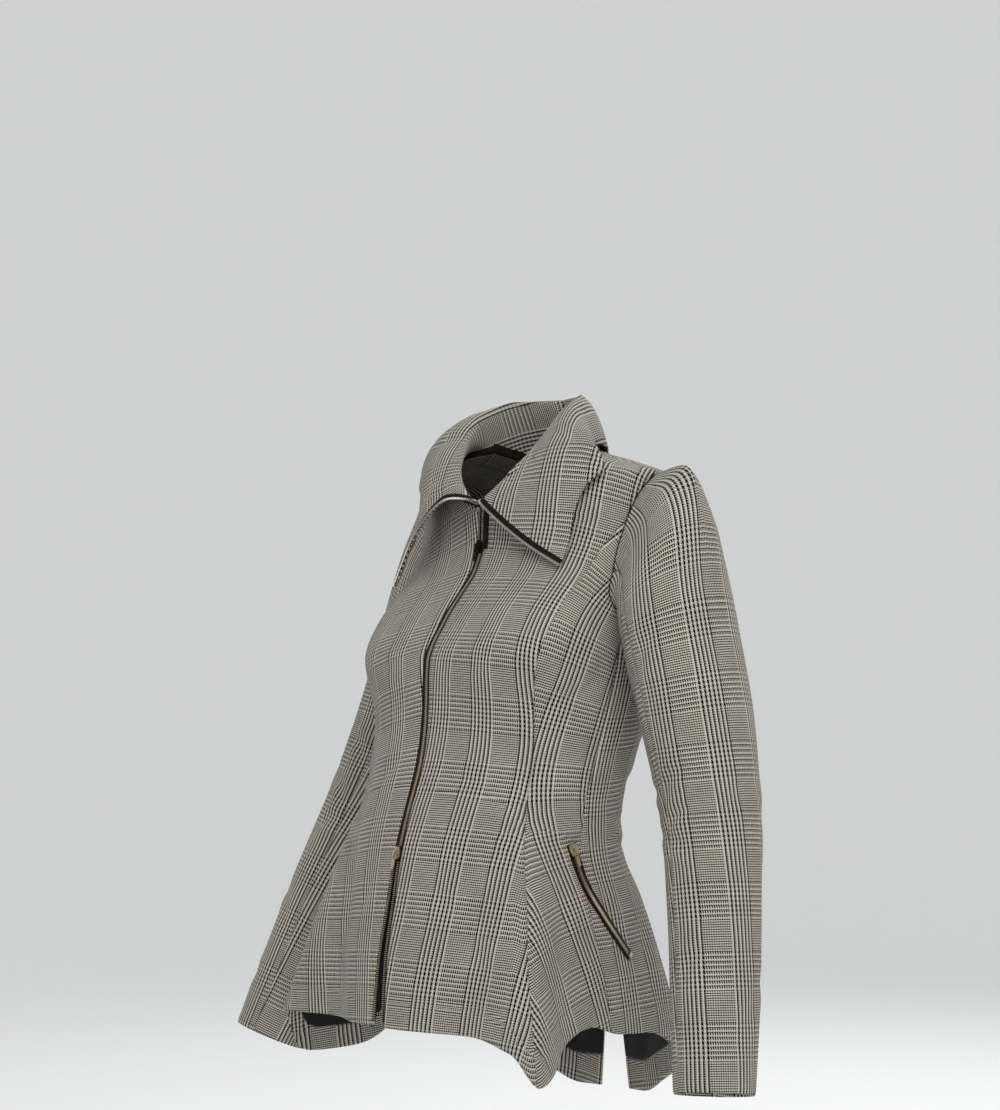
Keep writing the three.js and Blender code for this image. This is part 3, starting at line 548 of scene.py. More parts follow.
# Sleeves: middle of the arm, half its width from inside to outside and from front to back
sleeves = {
    "left": table(
        "z x y across deep",
        (-178, 203, -3, 52, 55), (-259, 222, 0, 50, 53), (-331, 236, 1, 45, 48), (-429, 250, -8, 40.5, 44),
        (-525, 262, -21, 38, 41), (-591, 270, -31, 35, 38),
    ),
    "right": table(
        "z x y across deep",
        (-178, 200, 66, 48, 52), (-259, 212, 46, 48, 51), (-331, 229, 24, 45, 48), (-429, 260, -9, 40.5, 44),
        (-515, 282, -38, 38, 41), (-585, 300, -62, 35, 38),
    ),
}
head = table("turn out rise up", (0, 62, 0.2, 162), (45, 46, 0.16, 120), (90, 20, 0.05, 56), (180, 5, 0, 8))
headShare = {"left": 1, "right": 0.6}
sleeveCut = {
    "columns": {"upper": 88, "under": 42}, "head": 60, "arm": 130, "gap": 1.2, "crown": 9,
    "upper": (-131.8, 107.8), "under": (108.2, 227.8),
    "headLength": 160, "armLength": 415, "perDegree": 0.85,  # mm, to place creases
}

# Creases of the sleeves, as turn and place along (0 to 1 over the head, 1 to 2 down the arm) at both ends,
# half width and depth in mm
sleeveCreases = {
    "left": [
        (60, 1.30, 112, 1.38, 8, 1.5), (56, 1.40, 108, 1.44, 7, 1.3), (70, 1.50, 120, 1.46, 8, 1.2),
        (-30, 1.34, 30, 1.42, 11, 0.9), (120, 1.34, 190, 1.40, 8, 1.6), (130, 1.45, 200, 1.44, 7, 1.4),
        (96, 1.06, 140, 1.16, 10, 1.6), (70, 1.0, 104, 1.12, 9, 1.0), (-110, 1.02, -70, 1.16, 10, 1.3),
        (-80, 1.36, -30, 1.48, 9, 1.0), (40, 1.68, 96, 1.78, 9, 0.9), (-60, 1.74, 0, 1.86, 11, 0.8),
        (10, 1.90, 70, 1.86, 9, 0.7), (-20, 0.62, 0, 1.05, 10, 0.8), (40, 0.55, 52, 0.95, 9, 0.9),
        (-60, 0.60, -52, 1.0, 9, 0.9), (200, 1.2, 236, 1.3, 9, 1.0),
    ],
    "right": [
        (64, 1.28, 110, 1.36, 8, 1.7), (52, 1.38, 104, 1.46, 7, 1.4), (66, 1.52, 116, 1.48, 8, 1.3),
        (-34, 1.36, 26, 1.46, 11, 0.9), (122, 1.32, 186, 1.38, 8, 1.6), (132, 1.43, 196, 1.46, 7, 1.4),
        (92, 1.04, 136, 1.18, 10, 1.5), (66, 1.02, 100, 1.14, 9, 1.1), (-106, 1.04, -66, 1.14, 10, 1.2),
        (-84, 1.38, -34, 1.46, 9, 1.0), (36, 1.66, 92, 1.76, 9, 1.0), (-56, 1.72, 6, 1.84, 11, 0.8),
        (14, 1.88, 66, 1.90, 9, 0.7), (-16, 0.60, 6, 1.02, 10, 0.8), (44, 0.58, 56, 0.98, 9, 0.9),
        (-64, 0.62, -50, 0.98, 9, 0.8), (204, 1.22, 232, 1.28, 9, 1.0),
    ],
}


def sleeveRing(side, z, turn):
    sign = 1 if side == "left" else -1
    rows = sleeves[side]
    level = np.clip(z, rows["z"][-1] + 2, rows["z"][0] - 2)
    s, up, down = lookUp(rows, "z", z), lookUp(rows, "z", level + 2), lookUp(rows, "z", level - 2)
    axis = unit(np.stack([sign * (up["x"] - down["x"]), up["y"] - down["y"], 4 + 0 * up["x"]], -1))
    forward = unit(np.array([0, -1, 0]) + axis * axis[..., 1:2])
    out = unit(np.cross(forward, axis))
    out = np.where(out[..., :1] * sign < 0, -out, out)
    middle = np.stack([sign * s["x"], s["y"], z + 0 * s["x"]], -1)
    radians = np.radians(turn)
    point = (
        middle + out * (s["across"] * np.cos(radians))[..., None]
        + forward * (s["deep"] * np.sin(radians))[..., None]
    )
    return point, axis


# Moves points of a sleeve out to the body's face where they would lie inside it
def clearOfBody(points):
    s = lookUp(bodySections, "z", points[..., 2])
    turn = np.radians(s["turn"])
    dx, dy = points[..., 0], points[..., 1] - s["side"]
    x = dx * np.cos(turn) - dy * np.sin(turn)
    y = dx * np.sin(turn) + dy * np.cos(turn)
    depth = np.where(y < 0, s["side"] - s["front"], s["back"] - s["side"])
    share = ((np.abs(x) / s["half"]) ** s["square"] + (np.abs(y) / depth) ** s["square"]) ** (1 / s["square"])
    clear = 1 + sleeveCut["gap"] / s["half"]
    out = np.where(share < clear, clear / np.maximum(share, 1e-6), 1)
    return np.stack([points[..., 0] * out, s["side"] + dy * out, points[..., 2]], -1)


def armholePoint(side, turn):
    sign = 1 if side == "left" else -1
    found = lookUp(armhole, "turn", (np.asarray(turn, float) + 360) % 360)
    return bodySurface(side, sign * found["angle"], found["z"])


def sleeveSurface(side, turn, along):
    sign = 1 if side == "left" else -1
    top, foot = sleeves[side]["z"][[0, -1]]
    arm = clearOfBody(sleeveRing(side, lerp(top, foot, np.clip(along - 1, 0, 1)), turn)[0])
    seam = armholePoint(side, turn)
    middle = (armholePoint(side, 0) + armholePoint(side, 180)) / 2
    seam = seam + unit(middle - seam) * (cloth["seamGap"] + 0.1)
    h = lookUp(head, "turn", np.hypot((turn + 540) % 360 - 180, sleeveCut["crown"]))
    ringPoint, axis = sleeveRing(side, top + 0 * turn, turn)
    lean = unit(np.stack([sign + 0 * h["rise"], 0 * h["rise"], h["rise"]], -1))
    lift = lean * (h["out"] * headShare[side])[..., None]
    p1, p2 = seam + lift, ringPoint + axis * h["up"][..., None]
    t = np.clip(along, 0, 1)[..., None]
    curve = seam * (1 - t) ** 3 + 3 * p1 * t * (1 - t) ** 2 + 3 * p2 * t * t * (1 - t) + ringPoint * t**3
    curve = np.where(t > 0.1, clearOfBody(curve), curve)
    return np.where(along[..., None] >= 1, arm, curve)


# Length in mm down the sleeve to a place along it
def sleeveLength(along):
    inHead, inArm = sleeveCut["headLength"], sleeveCut["armLength"]
    return np.where(along < 1, inHead * along, inHead + inArm * (along - 1))


def sleeveGrid(side, part):
    inHead, inArm = np.linspace(0, 1, sleeveCut["head"]), np.linspace(1, 2, sleeveCut["arm"] + 1)
    along = np.concatenate([inHead, inArm[1:]])
    turn = np.linspace(*sleeveCut[part], sleeveCut["columns"][part])
    turns, alongs = np.meshgrid(turn, along)
    points = sleeveSurface(side, turns, alongs)
    normals = gridNormals(points) * (1 if side == "left" else -1)
    per = sleeveCut["perDegree"]
    listed = [
        (per * a, float(sleeveLength(b)), per * c, float(sleeveLength(d)), e, f)
        for a, b, c, d, e, f in sleeveCreases[side]
    ]
    height = creased(per * turns, sleeveLength(alongs), listed) * np.clip(alongs * 2, 0, 1)
    edges = np.minimum(turns - turn[0], turn[-1] - turns) * per
    height = height * (1 - np.exp(-((edges / 4) ** 2)))
    return points + normals * height[..., None], turn, along


# Where the check lies on the sleeves: the turn of a bold group's middle at each place along the sleeve
sleeveGrain = {
    "left": table(
        "along turn",
        (0, 2), (0.5, 24), (1, 35), (1.25, 34), (1.38, 30), (1.58, 13),
        (1.8, 3), (2, -10),
    ),
    "right": table(
        "along turn",
        (0, 6), (0.5, 28), (1, 40), (1.25, 38), (1.38, 32), (1.58, 18),
        (1.8, 6), (2, -6),
    ),
}
sleeveCheck = {"left": {"bandAlong": 1.16, "under": 24}, "right": {"bandAlong": 1.48, "under": 24}}


def sleeveUv(points, side, part, turn, along):
    sign = 1 if side == "left" else -1
    found = lookUp(sleeveGrain[side], "along", along)
    line = found["turn"] + (0 if part == "upper" else 130)
    flat = flatten(points, 64, 20)
    known = np.array([
        [np.interp(line[r], turn, flat[r, :, k]) for k in (0, 1)]
        for r in range(len(along)) if turn[0] < line[r] < turn[-1]
    ])
    uv = alongGrain(flat, known)
    place = sleeveCheck[side]
    r = int(np.argmin(np.abs(along - place["bandAlong"])))
    c = int(np.argmin(np.abs(turn - line[r])))
    uv[..., 1] -= uv[r, c, 1]
    uv[..., 0] *= sign if uv[-1, -1, 0] > uv[-1, 0, 0] else -sign
    return uv + np.array([0 if part == "upper" else place["under"], 0])


# Collar: each station's angle on the neckline, its roll, and its outer edge
collars = {
    "left": table(
        "at neck rollX rollY rollZ edge edgeZ lift rise bulge",
        (0, 2.5, 5, -61, -57, 41, -124, 6, -5, 3), (1, 20, 19, -57, -46, 43, -104, 6, 0, 5),
        (2, 45, 39, -46, -25, 45, -80, 7, 2, 9), (3, 70, 54, -25, 5, 52, -46, 9, 5, 12),
        (4, 92, 60, -2, 32, 84, -14, 9, 6, 8), (5, 130, 43, 36, 47, 132, -10, 4, 5, 3),
        (6, 179.2, 0.8, 56, 47, 179.2, -20, 5, 5, 4),
    ),
    "right": table(
        "at neck rollX rollY rollZ edge edgeZ lift rise bulge",
        (0, 2.5, 5, -61, -56, 31, -142, 13, 22, 5), (1, 20, 19, -57, -45, 32, -112, 18, 20, 7),
        (2, 45, 37, -46, -25, 33, -80, 16, 12, 8), (3, 70, 51, -25, 2, 42, -46, 12, 7, 11),
        (4, 92, 58, 0, 30, 78, -15, 9, 7, 9), (5, 130, 43, 36, 47, 132, -10, 4, 5, 3),
        (6, 179.2, 0.8, 56, 47, 179.2, -20, 5, 5, 4),
    ),
}
collarCut = {"stations": 130, "across": 64}


def neckPoint(side, angle):
    sign = 1 if side == "left" else -1
    front, back = lookUp(frontNeck, "angle", angle)["z"], lookUp(backNeck, "angle", angle)["z"]
    z = np.where(angle < 90, front, back)
    point = bodySurface(side, sign * np.minimum(angle, 179.8), z)
    inward = (np.stack([0 * z, 10 + 0 * z, z], -1) - point) * np.array([1, 1, 0])
    clear = cloth["wool"] + 3 * cloth["seamGap"]
    point[..., 2] += lerp(cloth["seamGap"], clear, np.clip((110 - angle) / 40, 0, 1))
    return point + unit(inward) * clear


def throughPoints(points, t):
    count = len(points)
    place = np.clip((count - 1) * t, 0, count - 1 - 1e-9)
    found = np.zeros(points[0].shape[:-1] + (3,))
    for i in range(count - 1):
        here = (place >= i) & (place < i + 1)
        p1, p2 = points[i], points[i + 1]
        p0 = points[i - 1] if i > 0 else 2 * p1 - p2
        p3 = points[i + 2] if i + 2 < count else 2 * p2 - p1
        steps = (p1 - p0, p2 - p1, p3 - p2)
        d0, d1, d2 = (np.sqrt(np.linalg.norm(step, axis=-1, keepdims=True)) for step in steps)
        t1 = ((p1 - p0) / d0 - (p2 - p0) / (d0 + d1) + (p2 - p1) / d1) * d1
        t2 = ((p2 - p1) / d1 - (p3 - p1) / (d1 + d2) + (p3 - p2) / d2) * d1
        w = (place - i)[..., None]
        curve = p1 + t1 * w + (3 * p2 - 3 * p1 - 2 * t1 - t2) * w**2 + (2 * p1 - 2 * p2 + t1 + t2) * w**3
        found = np.where(here[..., None], curve, found)
    return found


def collarSurface(side, station, across):
    sign = 1 if side == "left" else -1
    s = lookUp(collars[side], "at", station)
    roll = np.stack([sign * s["rollX"], s["rollY"], s["rollZ"]], -1)
    seam = neckPoint(side, s["neck"])
    foot = bodySurface(side, sign * s["edge"], s["edgeZ"])
    out = bodyNormal(side, sign * s["edge"], s["edgeZ"])
    edge = foot + out * s["lift"][..., None]
    raised = out * s["bulge"][..., None] + np.stack([0 * station, 0 * station, s["rise"]], -1)
    stand = (seam + roll) / 2
    inward = (np.stack([0 * station, 10 + 0 * station, stand[..., 2]], -1) - stand) * np.array([1, 1, 0])
    stand = stand + unit(inward) * 2
    shown = [seam, stand, roll, lerp(roll, edge, 0.3) + raised, lerp(roll, edge, 0.65) + raised, edge]
    return throughPoints(shown, across)


def collarGrid(side):
    across = np.linspace(0, 1, collarCut["across"])
    stations, acrosses = np.meshgrid(np.linspace(0, 6, collarCut["stations"]), across)
    return collarSurface(side, stations, acrosses)


collarCheck = {
    "left": {"turn": 7, "across": 26, "along": 33},
    "right": {"turn": 7, "across": 18, "along": 29},
}


def collarUv(points, side):
    place = collarCheck[side]
    flat = flatten(points, 24, 60)
    turn = math.radians(place["turn"])
    first, last = flat[-1, 0], flat[-1, 12]
    flat = flat - first
    ahead = unit(last - first)
    p, q = flat @ ahead, flat @ np.array([-ahead[1], ahead[0]])
    if q[0].mean() > 0:
        q = -q
    u = p * math.sin(turn) + q * math.cos(turn) + place["across"]
    v = q * math.sin(turn) - p * math.cos(turn) + place["along"]
    return np.stack([u, v], -1)


# Materials
def linear(hexColour):
    value = [int(hexColour[i:i + 2], 16) / 255 for i in (1, 3, 5)]
    return tuple(v / 12.92 if v <= 0.04045 else ((v + 0.055) / 1.055) ** 2.4 for v in value) + (1,)


# Adds a node with its settings and links; a tuple among the inputs is an output of another node
def add(tree, kind, settings=None, **inputs):
    node = tree.nodes.new(kind)
    for name, value in (settings or {}).items():
        setattr(node, name, value)
    for name, value in inputs.items():
        key = int(name[1:]) if name[0] == "i" and name[1:].isdigit() else name.replace("_", " ")
        if isinstance(value, bpy.types.NodeSocket):
            tree.links.new(value, node.inputs[key])
        else:
            node.inputs[key].default_value = value
    return node


def newMaterial(name):
    material = bpy.data.materials.new(name)
    material.use_nodes = True
    return material, material.node_tree, material.node_tree.nodes["Principled BSDF"]


def setShader(shader, **values):
    for name, value in values.items():
        shader.inputs[name.replace("_", " ")].default_value = value


# A mix of two colours, each a hex string or an output of another node
def mixColours(tree, share, first, second):
    first, second = (linear(c) if isinstance(c, str) else c for c in (first, second))
    return add(tree, "ShaderNodeMix", {"data_type": "RGBA"}, i0=share, i6=first, i7=second).outputs[2]


def remap(tree, value, fromRange, toRange):
    (a, b), (c, d) = fromRange, toRange
    return add(tree, "ShaderNodeMapRange", Value=value, From_Min=a, From_Max=b, To_Min=c, To_Max=d).outputs[0]


def setBump(tree, shader, height, strength, deep):
    bump = add(tree, "ShaderNodeBump", Strength=strength, Distance=deep * mm, Height=height)
    tree.links.new(bump.outputs[0], shader.inputs["Normal"])


# Worsted wool woven in a glen check: dark and light threads in 2/2 twill, four and four crossing two and
# two; matt, with a faint bloom of fibres at glancing angles
woolSettings = {
    "light": "#EEE9DC", "dark": "#0C0B0B", "warm": "#CDC5B3",
    "warpPitch": 0.52, "weftPitch": 0.532,       # thread spacing, mm
    "warpRepeat": 96, "warpBold": 48, "weftRepeat": 116, "weftBold": 64,
    "roughness": 0.9, "sheen": 0.08, "rib": 0.18,
}


def woolMaterial(name, tone):
    w = woolSettings
    material, tree, shader = newMaterial(name)
    setShader(shader, Roughness=w["roughness"], Sheen_Weight=w["sheen"])
    setShader(shader, Sheen_Roughness=0.5, Specular_IOR_Level=0.12)
    place = add(tree, "ShaderNodeUVMap", {"uv_map": "cut"}).outputs[0]
    flow = add(tree, "ShaderNodeTexNoise", Vector=place, Scale=14, Detail=1)
    drift = add(tree, "ShaderNodeVectorMath", {"operation": "MULTIPLY_ADD"}, i0=flow.outputs["Color"],
                i1=(0.0016, 0.0016, 0), i2=place).outputs[0]  # threads wander by a millimetre or so
    parts = add(tree, "ShaderNodeSeparateXYZ", Vector=drift)

    def count(operation, *values):
        inputs = {f"i{i}": value for i, value in enumerate(values)}
        return add(tree, "ShaderNodeMath", {"operation": operation}, **inputs).outputs[0]

    # The first value where `share` is 1 and the second where it is 0
    def choose(share, first, second):
        rest = count("SUBTRACT", 1.0, share)
        return count("ADD", count("MULTIPLY", share, first), count("MULTIPLY", rest, second))

    def threads(kind, place):
        across = count("DIVIDE", place, w[kind + "Pitch"] * mm)
        number = count("FLOOR", count("ADD", across, w[kind + "Bold"] / 2))
        at = count("FLOORED_MODULO", number, float(w[kind + "Repeat"]))
        isBold = count("LESS_THAN", at, float(w[kind + "Bold"]))
        four = count("LESS_THAN", count("FLOORED_MODULO", at, 8.0), 4.0)
        two = count("LESS_THAN", count("FLOORED_MODULO", at, 4.0), 2.0)
        return across, number, choose(isBold, four, two), isBold

    warpAt, warp, warpDark, warpBold = threads("warp", parts.outputs["X"])
    weftAt, weft, weftDark, _ = threads("weft", parts.outputs["Y"])
    over = count("ADD", 2.0, warpBold)  # bold warp threads float over three, the others over two
    onTop = count("LESS_THAN", count("FLOORED_MODULO", count("ADD", warp, weft), 4.0), over)
    dark = choose(onTop, warpDark, weftDark)
    blotch = add(tree, "ShaderNodeTexNoise", Vector=place, Scale=900, Detail=2)
    lightYarn = mixColours(tree, blotch.outputs[0], w["light"], w["warm"])
    yarn = mixColours(tree, dark, lightYarn, w["dark"])
    broad = add(tree, "ShaderNodeTexNoise", Vector=place, Scale=22, Detail=3)
    shade = remap(tree, broad.outputs[0], (0.3, 0.7), (0.92 * tone, 1.06 * tone))
    colour = add(tree, "ShaderNodeVectorMath", {"operation": "SCALE"}, i0=yarn, Scale=shade).outputs[0]
    tree.links.new(colour, shader.inputs["Base Color"])
    warpRound = count("ABSOLUTE", count("SINE", count("MULTIPLY", warpAt, math.pi)))
    weftRound = count("ABSOLUTE", count("SINE", count("MULTIPLY", weftAt, math.pi)))
    height = choose(onTop, warpRound, weftRound)
    fuzz = add(tree, "ShaderNodeTexNoise", Vector=place, Scale=2500, Detail=3)
    height = count("ADD", height, count("MULTIPLY", fuzz.outputs[0], 0.8))
    setBump(tree, shader, height, 0.5, w["rib"])
    return material


# Acetate satin lining: black, closely woven, with a soft gloss that shows its fine ripples
def liningMaterial():
    material, tree, shader = newMaterial("black acetate satin lining")
    setShader(shader, Roughness=0.5, Sheen_Weight=0.02, Specular_IOR_Level=0.15)
    place = add(tree, "ShaderNodeUVMap", {"uv_map": "cut"}).outputs[0]
    ripple = add(tree, "ShaderNodeTexNoise", Vector=place, Scale=45, Detail=2)
    weave = add(tree, "ShaderNodeTexWave", {"bands_direction": "X"}, Vector=place, Scale=1800, Distortion=0.4)
    settings = {"operation": "MULTIPLY_ADD"}
    mixed = add(tree, "ShaderNodeMath", settings, i0=weave.outputs[1], i1=0.06, i2=ripple.outputs[0])
    setBump(tree, shader, mixed.outputs[0], 0.4, 1.0)
    colour = mixColours(tree, ripple.outputs[0], "#050507", "#0C0C10")
    tree.links.new(colour, shader.inputs["Base Color"])
    return material


# Polyester zip tape in herringbone: dark brown, matt, with ribs about half a millimetre apart
def tapeMaterial():
    material, tree, shader = newMaterial("dark brown zip tape")
    setShader(shader, Roughness=0.85, Sheen_Weight=0.02, Specular_IOR_Level=0.1)
    place = add(tree, "ShaderNodeTexCoord").outputs["Object"]
    settings = {"bands_direction": "Z"}
    ribs = add(tree, "ShaderNodeTexWave", settings, Vector=place, Scale=310, Distortion=1.2, Detail=1)
    noise = add(tree, "ShaderNodeTexNoise", Vector=place, Scale=600, Detail=2)
    mixed = add(tree, "ShaderNodeMath", {"operation": "MULTIPLY"}, i0=ribs.outputs[1], i1=noise.outputs[0])
    colour = mixColours(tree, mixed.outputs[0], "#120A06", "#2A1B12")
    tree.links.new(colour, shader.inputs["Base Color"])
    setBump(tree, shader, mixed.outputs[0], 0.5, 0.2)
    return material


# Zip metals, stamped or die-cast and tumbled: brushed lightly, darker in the hollows, worn along edges
def metalMaterial(name, base, worn, roughness):
    material, tree, shader = newMaterial(name)
    setShader(shader, Metallic=1.0)
    place = add(tree, "ShaderNodeTexCoord").outputs["Object"]
    grime = add(tree, "ShaderNodeTexNoise", Vector=place, Scale=420, Detail=3)
    scratches = add(tree, "ShaderNodeTexNoise", Vector=place, Scale=1500, Detail=2, Distortion=1.5)
    geometry = add(tree, "ShaderNodeNewGeometry").outputs["Pointiness"]
    edge = remap(tree, geometry, (0.5, 0.62), (0.0, 0.6))
    settings = {"operation": "MULTIPLY_ADD", "use_clamp": True}
    mix = add(tree, "ShaderNodeMath", settings, i0=grime.outputs[0], i1=0.6, i2=edge)
    tree.links.new(mixColours(tree, mix.outputs[0], base, worn), shader.inputs["Base Color"])
    rough = remap(tree, scratches.outputs[0], (0.3, 0.7), (roughness - 0.08, roughness + 0.12))
    tree.links.new(rough, shader.inputs["Roughness"])
    setBump(tree, shader, scratches.outputs[0], 0.3, 0.05)
    return material


wool = woolMaterial("worsted wool in glen check", 0.62)
lining = liningMaterial()
zipTape = tapeMaterial()
brass = metalMaterial("antique brass", "#7E6F59", "#CFC0A2", 0.36)
darkBrass = metalMaterial("dark antique brass", "#140E0A", "#3A2B20", 0.45)
nickel = metalMaterial("bright nickel", "#9A948A", "#E2DDD2", 0.42)
print("materials made")

# Body panels with the facing of the hem and the lining of the peplum

def declareSheet(node):
    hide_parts(node)


for side, sign in bothSides:
    for name in panelCut:
        points, b, angle, z = panelGrid(side, name)
        uv = clothUv(side, name, points, angle, z)
        dip = cloth["seamDip"]
        edges = {"first": dip, "last": dip, "foot": cloth["hemRoll"], "top": dip}
        node = f"{name}_{side}"
        piece = makeSheet(f"cloth_{node}", points, wool, cloth["wool"], uv, edges.items(), sign)
        declareSheet(node)
        inner = cloth["wool"] + cloth["seamGap"]
        normals = gridNormals(points) * sign
        inside = points - normals * inner
        hem = b <= facingTop + 1e-6
        piece = makeSheet(f"cloth_facing_{node}", inside[hem], wool, cloth["lining"], uv[hem], (), sign)
        declareSheet(f"facing_{node}")
        peplum = (b >= facingTop - 1e-6) & (b <= liningTop + 1e-6)
        part = inside[peplum]
        part[0] = lerp(part[0], part[1], 0.4)  # clear of the facing's upper edge
        thick = cloth["lining"]
        piece = makeSheet(f"cloth_lining_{node}", part, lining, thick, uv[peplum], (), sign)
        declareSheet(f"lining_{node}")
print("body panels made")

for side, sign in bothSides:
    for part in ("upper", "under"):
        points, turn, along = sleeveGrid(side, part)
        uv = sleeveUv(points, side, part, turn, along)
        edges = {"first": cloth["seamDip"], "last": cloth["seamDip"], "foot": 0.2, "top": cloth["hemRoll"]}
        piece = makeSheet(f"cloth_sleeve_{part}_{side}", points, wool, cloth["wool"], uv, edges.items(), sign)
        declareSheet(f"sleeve_{part}_{side}")
print("sleeves made")

collarPoints = {}
for side, sign in bothSides:
    points = collarGrid(side)
    collarPoints[side] = points
    uv = collarUv(points, side)
    edges = {"last": 0.2, "top": 0.5, "first": 0.4}
    piece = makeSheet(f"cloth_collar_{side}", points, wool, cloth["wool"], uv, edges.items(), -sign)
    declareSheet(f"collar_{side}")
print("collar made")


# Zips, in mm: a tooth's size is its width, its length along the zip and its height
zips = {
    "pitch": 1.9, "tooth": (2.5, 0.54, 1.3), "bevel": 0.18,
    "lean": 0.6,     # how far each side's teeth lie from the middle
    "sunk": 0.1,     # how far the zip lies under the face of the cloth
    "tapeThick": 0.6, "pocketTapeThick": 0.8, "thinThick": 0.5,
    "tapeCut": 12,   # whole width of a tape before it is sewn in
    "front": {
        "top": -105, "foot": -378, "highest": -62, "aboveHem": 4, "offset": 1.9,
        "shows": 2.6, "shutEdge": 0.1, "ease": 6, "under": {"left": 0.9, "right": 0.3},
        "belowFoot": 12, "aboveTop": 10, "raised": 0.6,
        "open": {"aboveTop": 4, "half": 4.0, "overEdge": 0.6, "raised": 0.9},
    },
    "collar": {"from": 0.34, "in": 2.6, "half": 2.8, "raised": 0.5, "teethOut": 0.6, "teethRaised": 0.7},
    "pocket": {
        # the black strip beside the pocket's teeth is painted shadow of its opening: its span across the path
        # and its height
        "from": 0.85, "to": 4.78, "rows": 90, "tape": (-2.9, 4.4), "paintedShadowSpan": (-4.9, -1.7),
        "tapeRaised": 1.1, "paintedShadowRaised": 1.35, "teethRaised": 1.5,
    },
}
bindings = {"neckIn": 1.3, "neckHalf": 5, "armholeUnder": 0.6, "armholeHalf": 4}


# One stamped tooth: a small block with rounded edges
def makeTooth():
    bpy.ops.object.select_all(action="DESELECT")
    bpy.ops.mesh.primitive_cube_add(size=1, location=(0, 0, 0))
    tooth = bpy.context.object
    tooth.scale = zips["tooth"]
    bpy.ops.object.transform_apply(location=False, rotation=False, scale=True)
    rounded = tooth.modifiers.new("rounded", "BEVEL")
    rounded.width, rounded.segments = zips["bevel"], 1
    bpy.ops.object.modifier_apply(modifier=rounded.name)
    points = np.array([v.co[:] for v in tooth.data.vertices])
    faces = [list(f.vertices) for f in tooth.data.polygons]
    bpy.data.objects.remove(tooth)
    return points, faces


# Teeth copied along a path: each stands on the path with its width across it; `sides` alternates them
def setTeeth(name, path, outward, material, sides=(0,)):
    points, faces = toothShape
    length = onPath(path)
    at = np.arange(0.5, length[-1], zips["pitch"] / len(sides))
    centre = np.stack([np.interp(at, length, path[:, k]) for k in range(3)], -1)
    out = unit(np.stack([np.interp(at, length, outward[:, k]) for k in range(3)], -1))
    before, after = (
        np.stack([np.interp(at + step, length, path[:, k]) for k in range(3)], -1) for step in (-0.5, 0.5)
    )
    ahead = after - before
    ahead = unit(ahead - out * (ahead * out).sum(-1, keepdims=True))
    across = np.cross(ahead, out)
    side = np.array([sides[i % len(sides)] for i in range(len(at))])
    centre = centre + across * (side * zips["lean"])[:, None]
    placed = centre[:, None] + np.einsum("pk,nkd->npd", points, np.stack([across, ahead, out], 1))
    listed = [[v + len(points) * n for v in face] for n in range(len(at)) for face in faces]
    return makeMesh(name, placed.reshape(-1, 3), listed, material, smooth=False)


# A narrow tape along a path, from `low` to `high` mm across it
def setTape(name, path, outward, low, high, material, thick=None, columns=4):
    thick = thick or zips["tapeThick"]
    ahead = unit(np.gradient(path, axis=0))
    across = unit(np.cross(ahead, outward))
    t = np.linspace(low, high, columns)[None, :, None]
    points = path[:, None] + across[:, None] * t
    sheetOut = 1 if (gridNormals(points) * outward[:, None]).sum() > 0 else -1
    uv = np.stack([acrossRows(points), np.repeat(onPath(path)[:, None], columns, 1)], -1)
    piece = makeSheet(name, points, material, thick, uv, (), sheetOut)
    return piece


# A path down the front at the mm `x` from the middle, `inside` mm under the face of the fronts
def frontPath(sign, x, z, inside):
    side = "left" if sign > 0 else "right"
    angle = sign * angleAt(np.maximum(x, 0.01), z)
    out = bodyNormal(side, angle, z)
    return bodySurface(side, angle, z) - out * inside, out


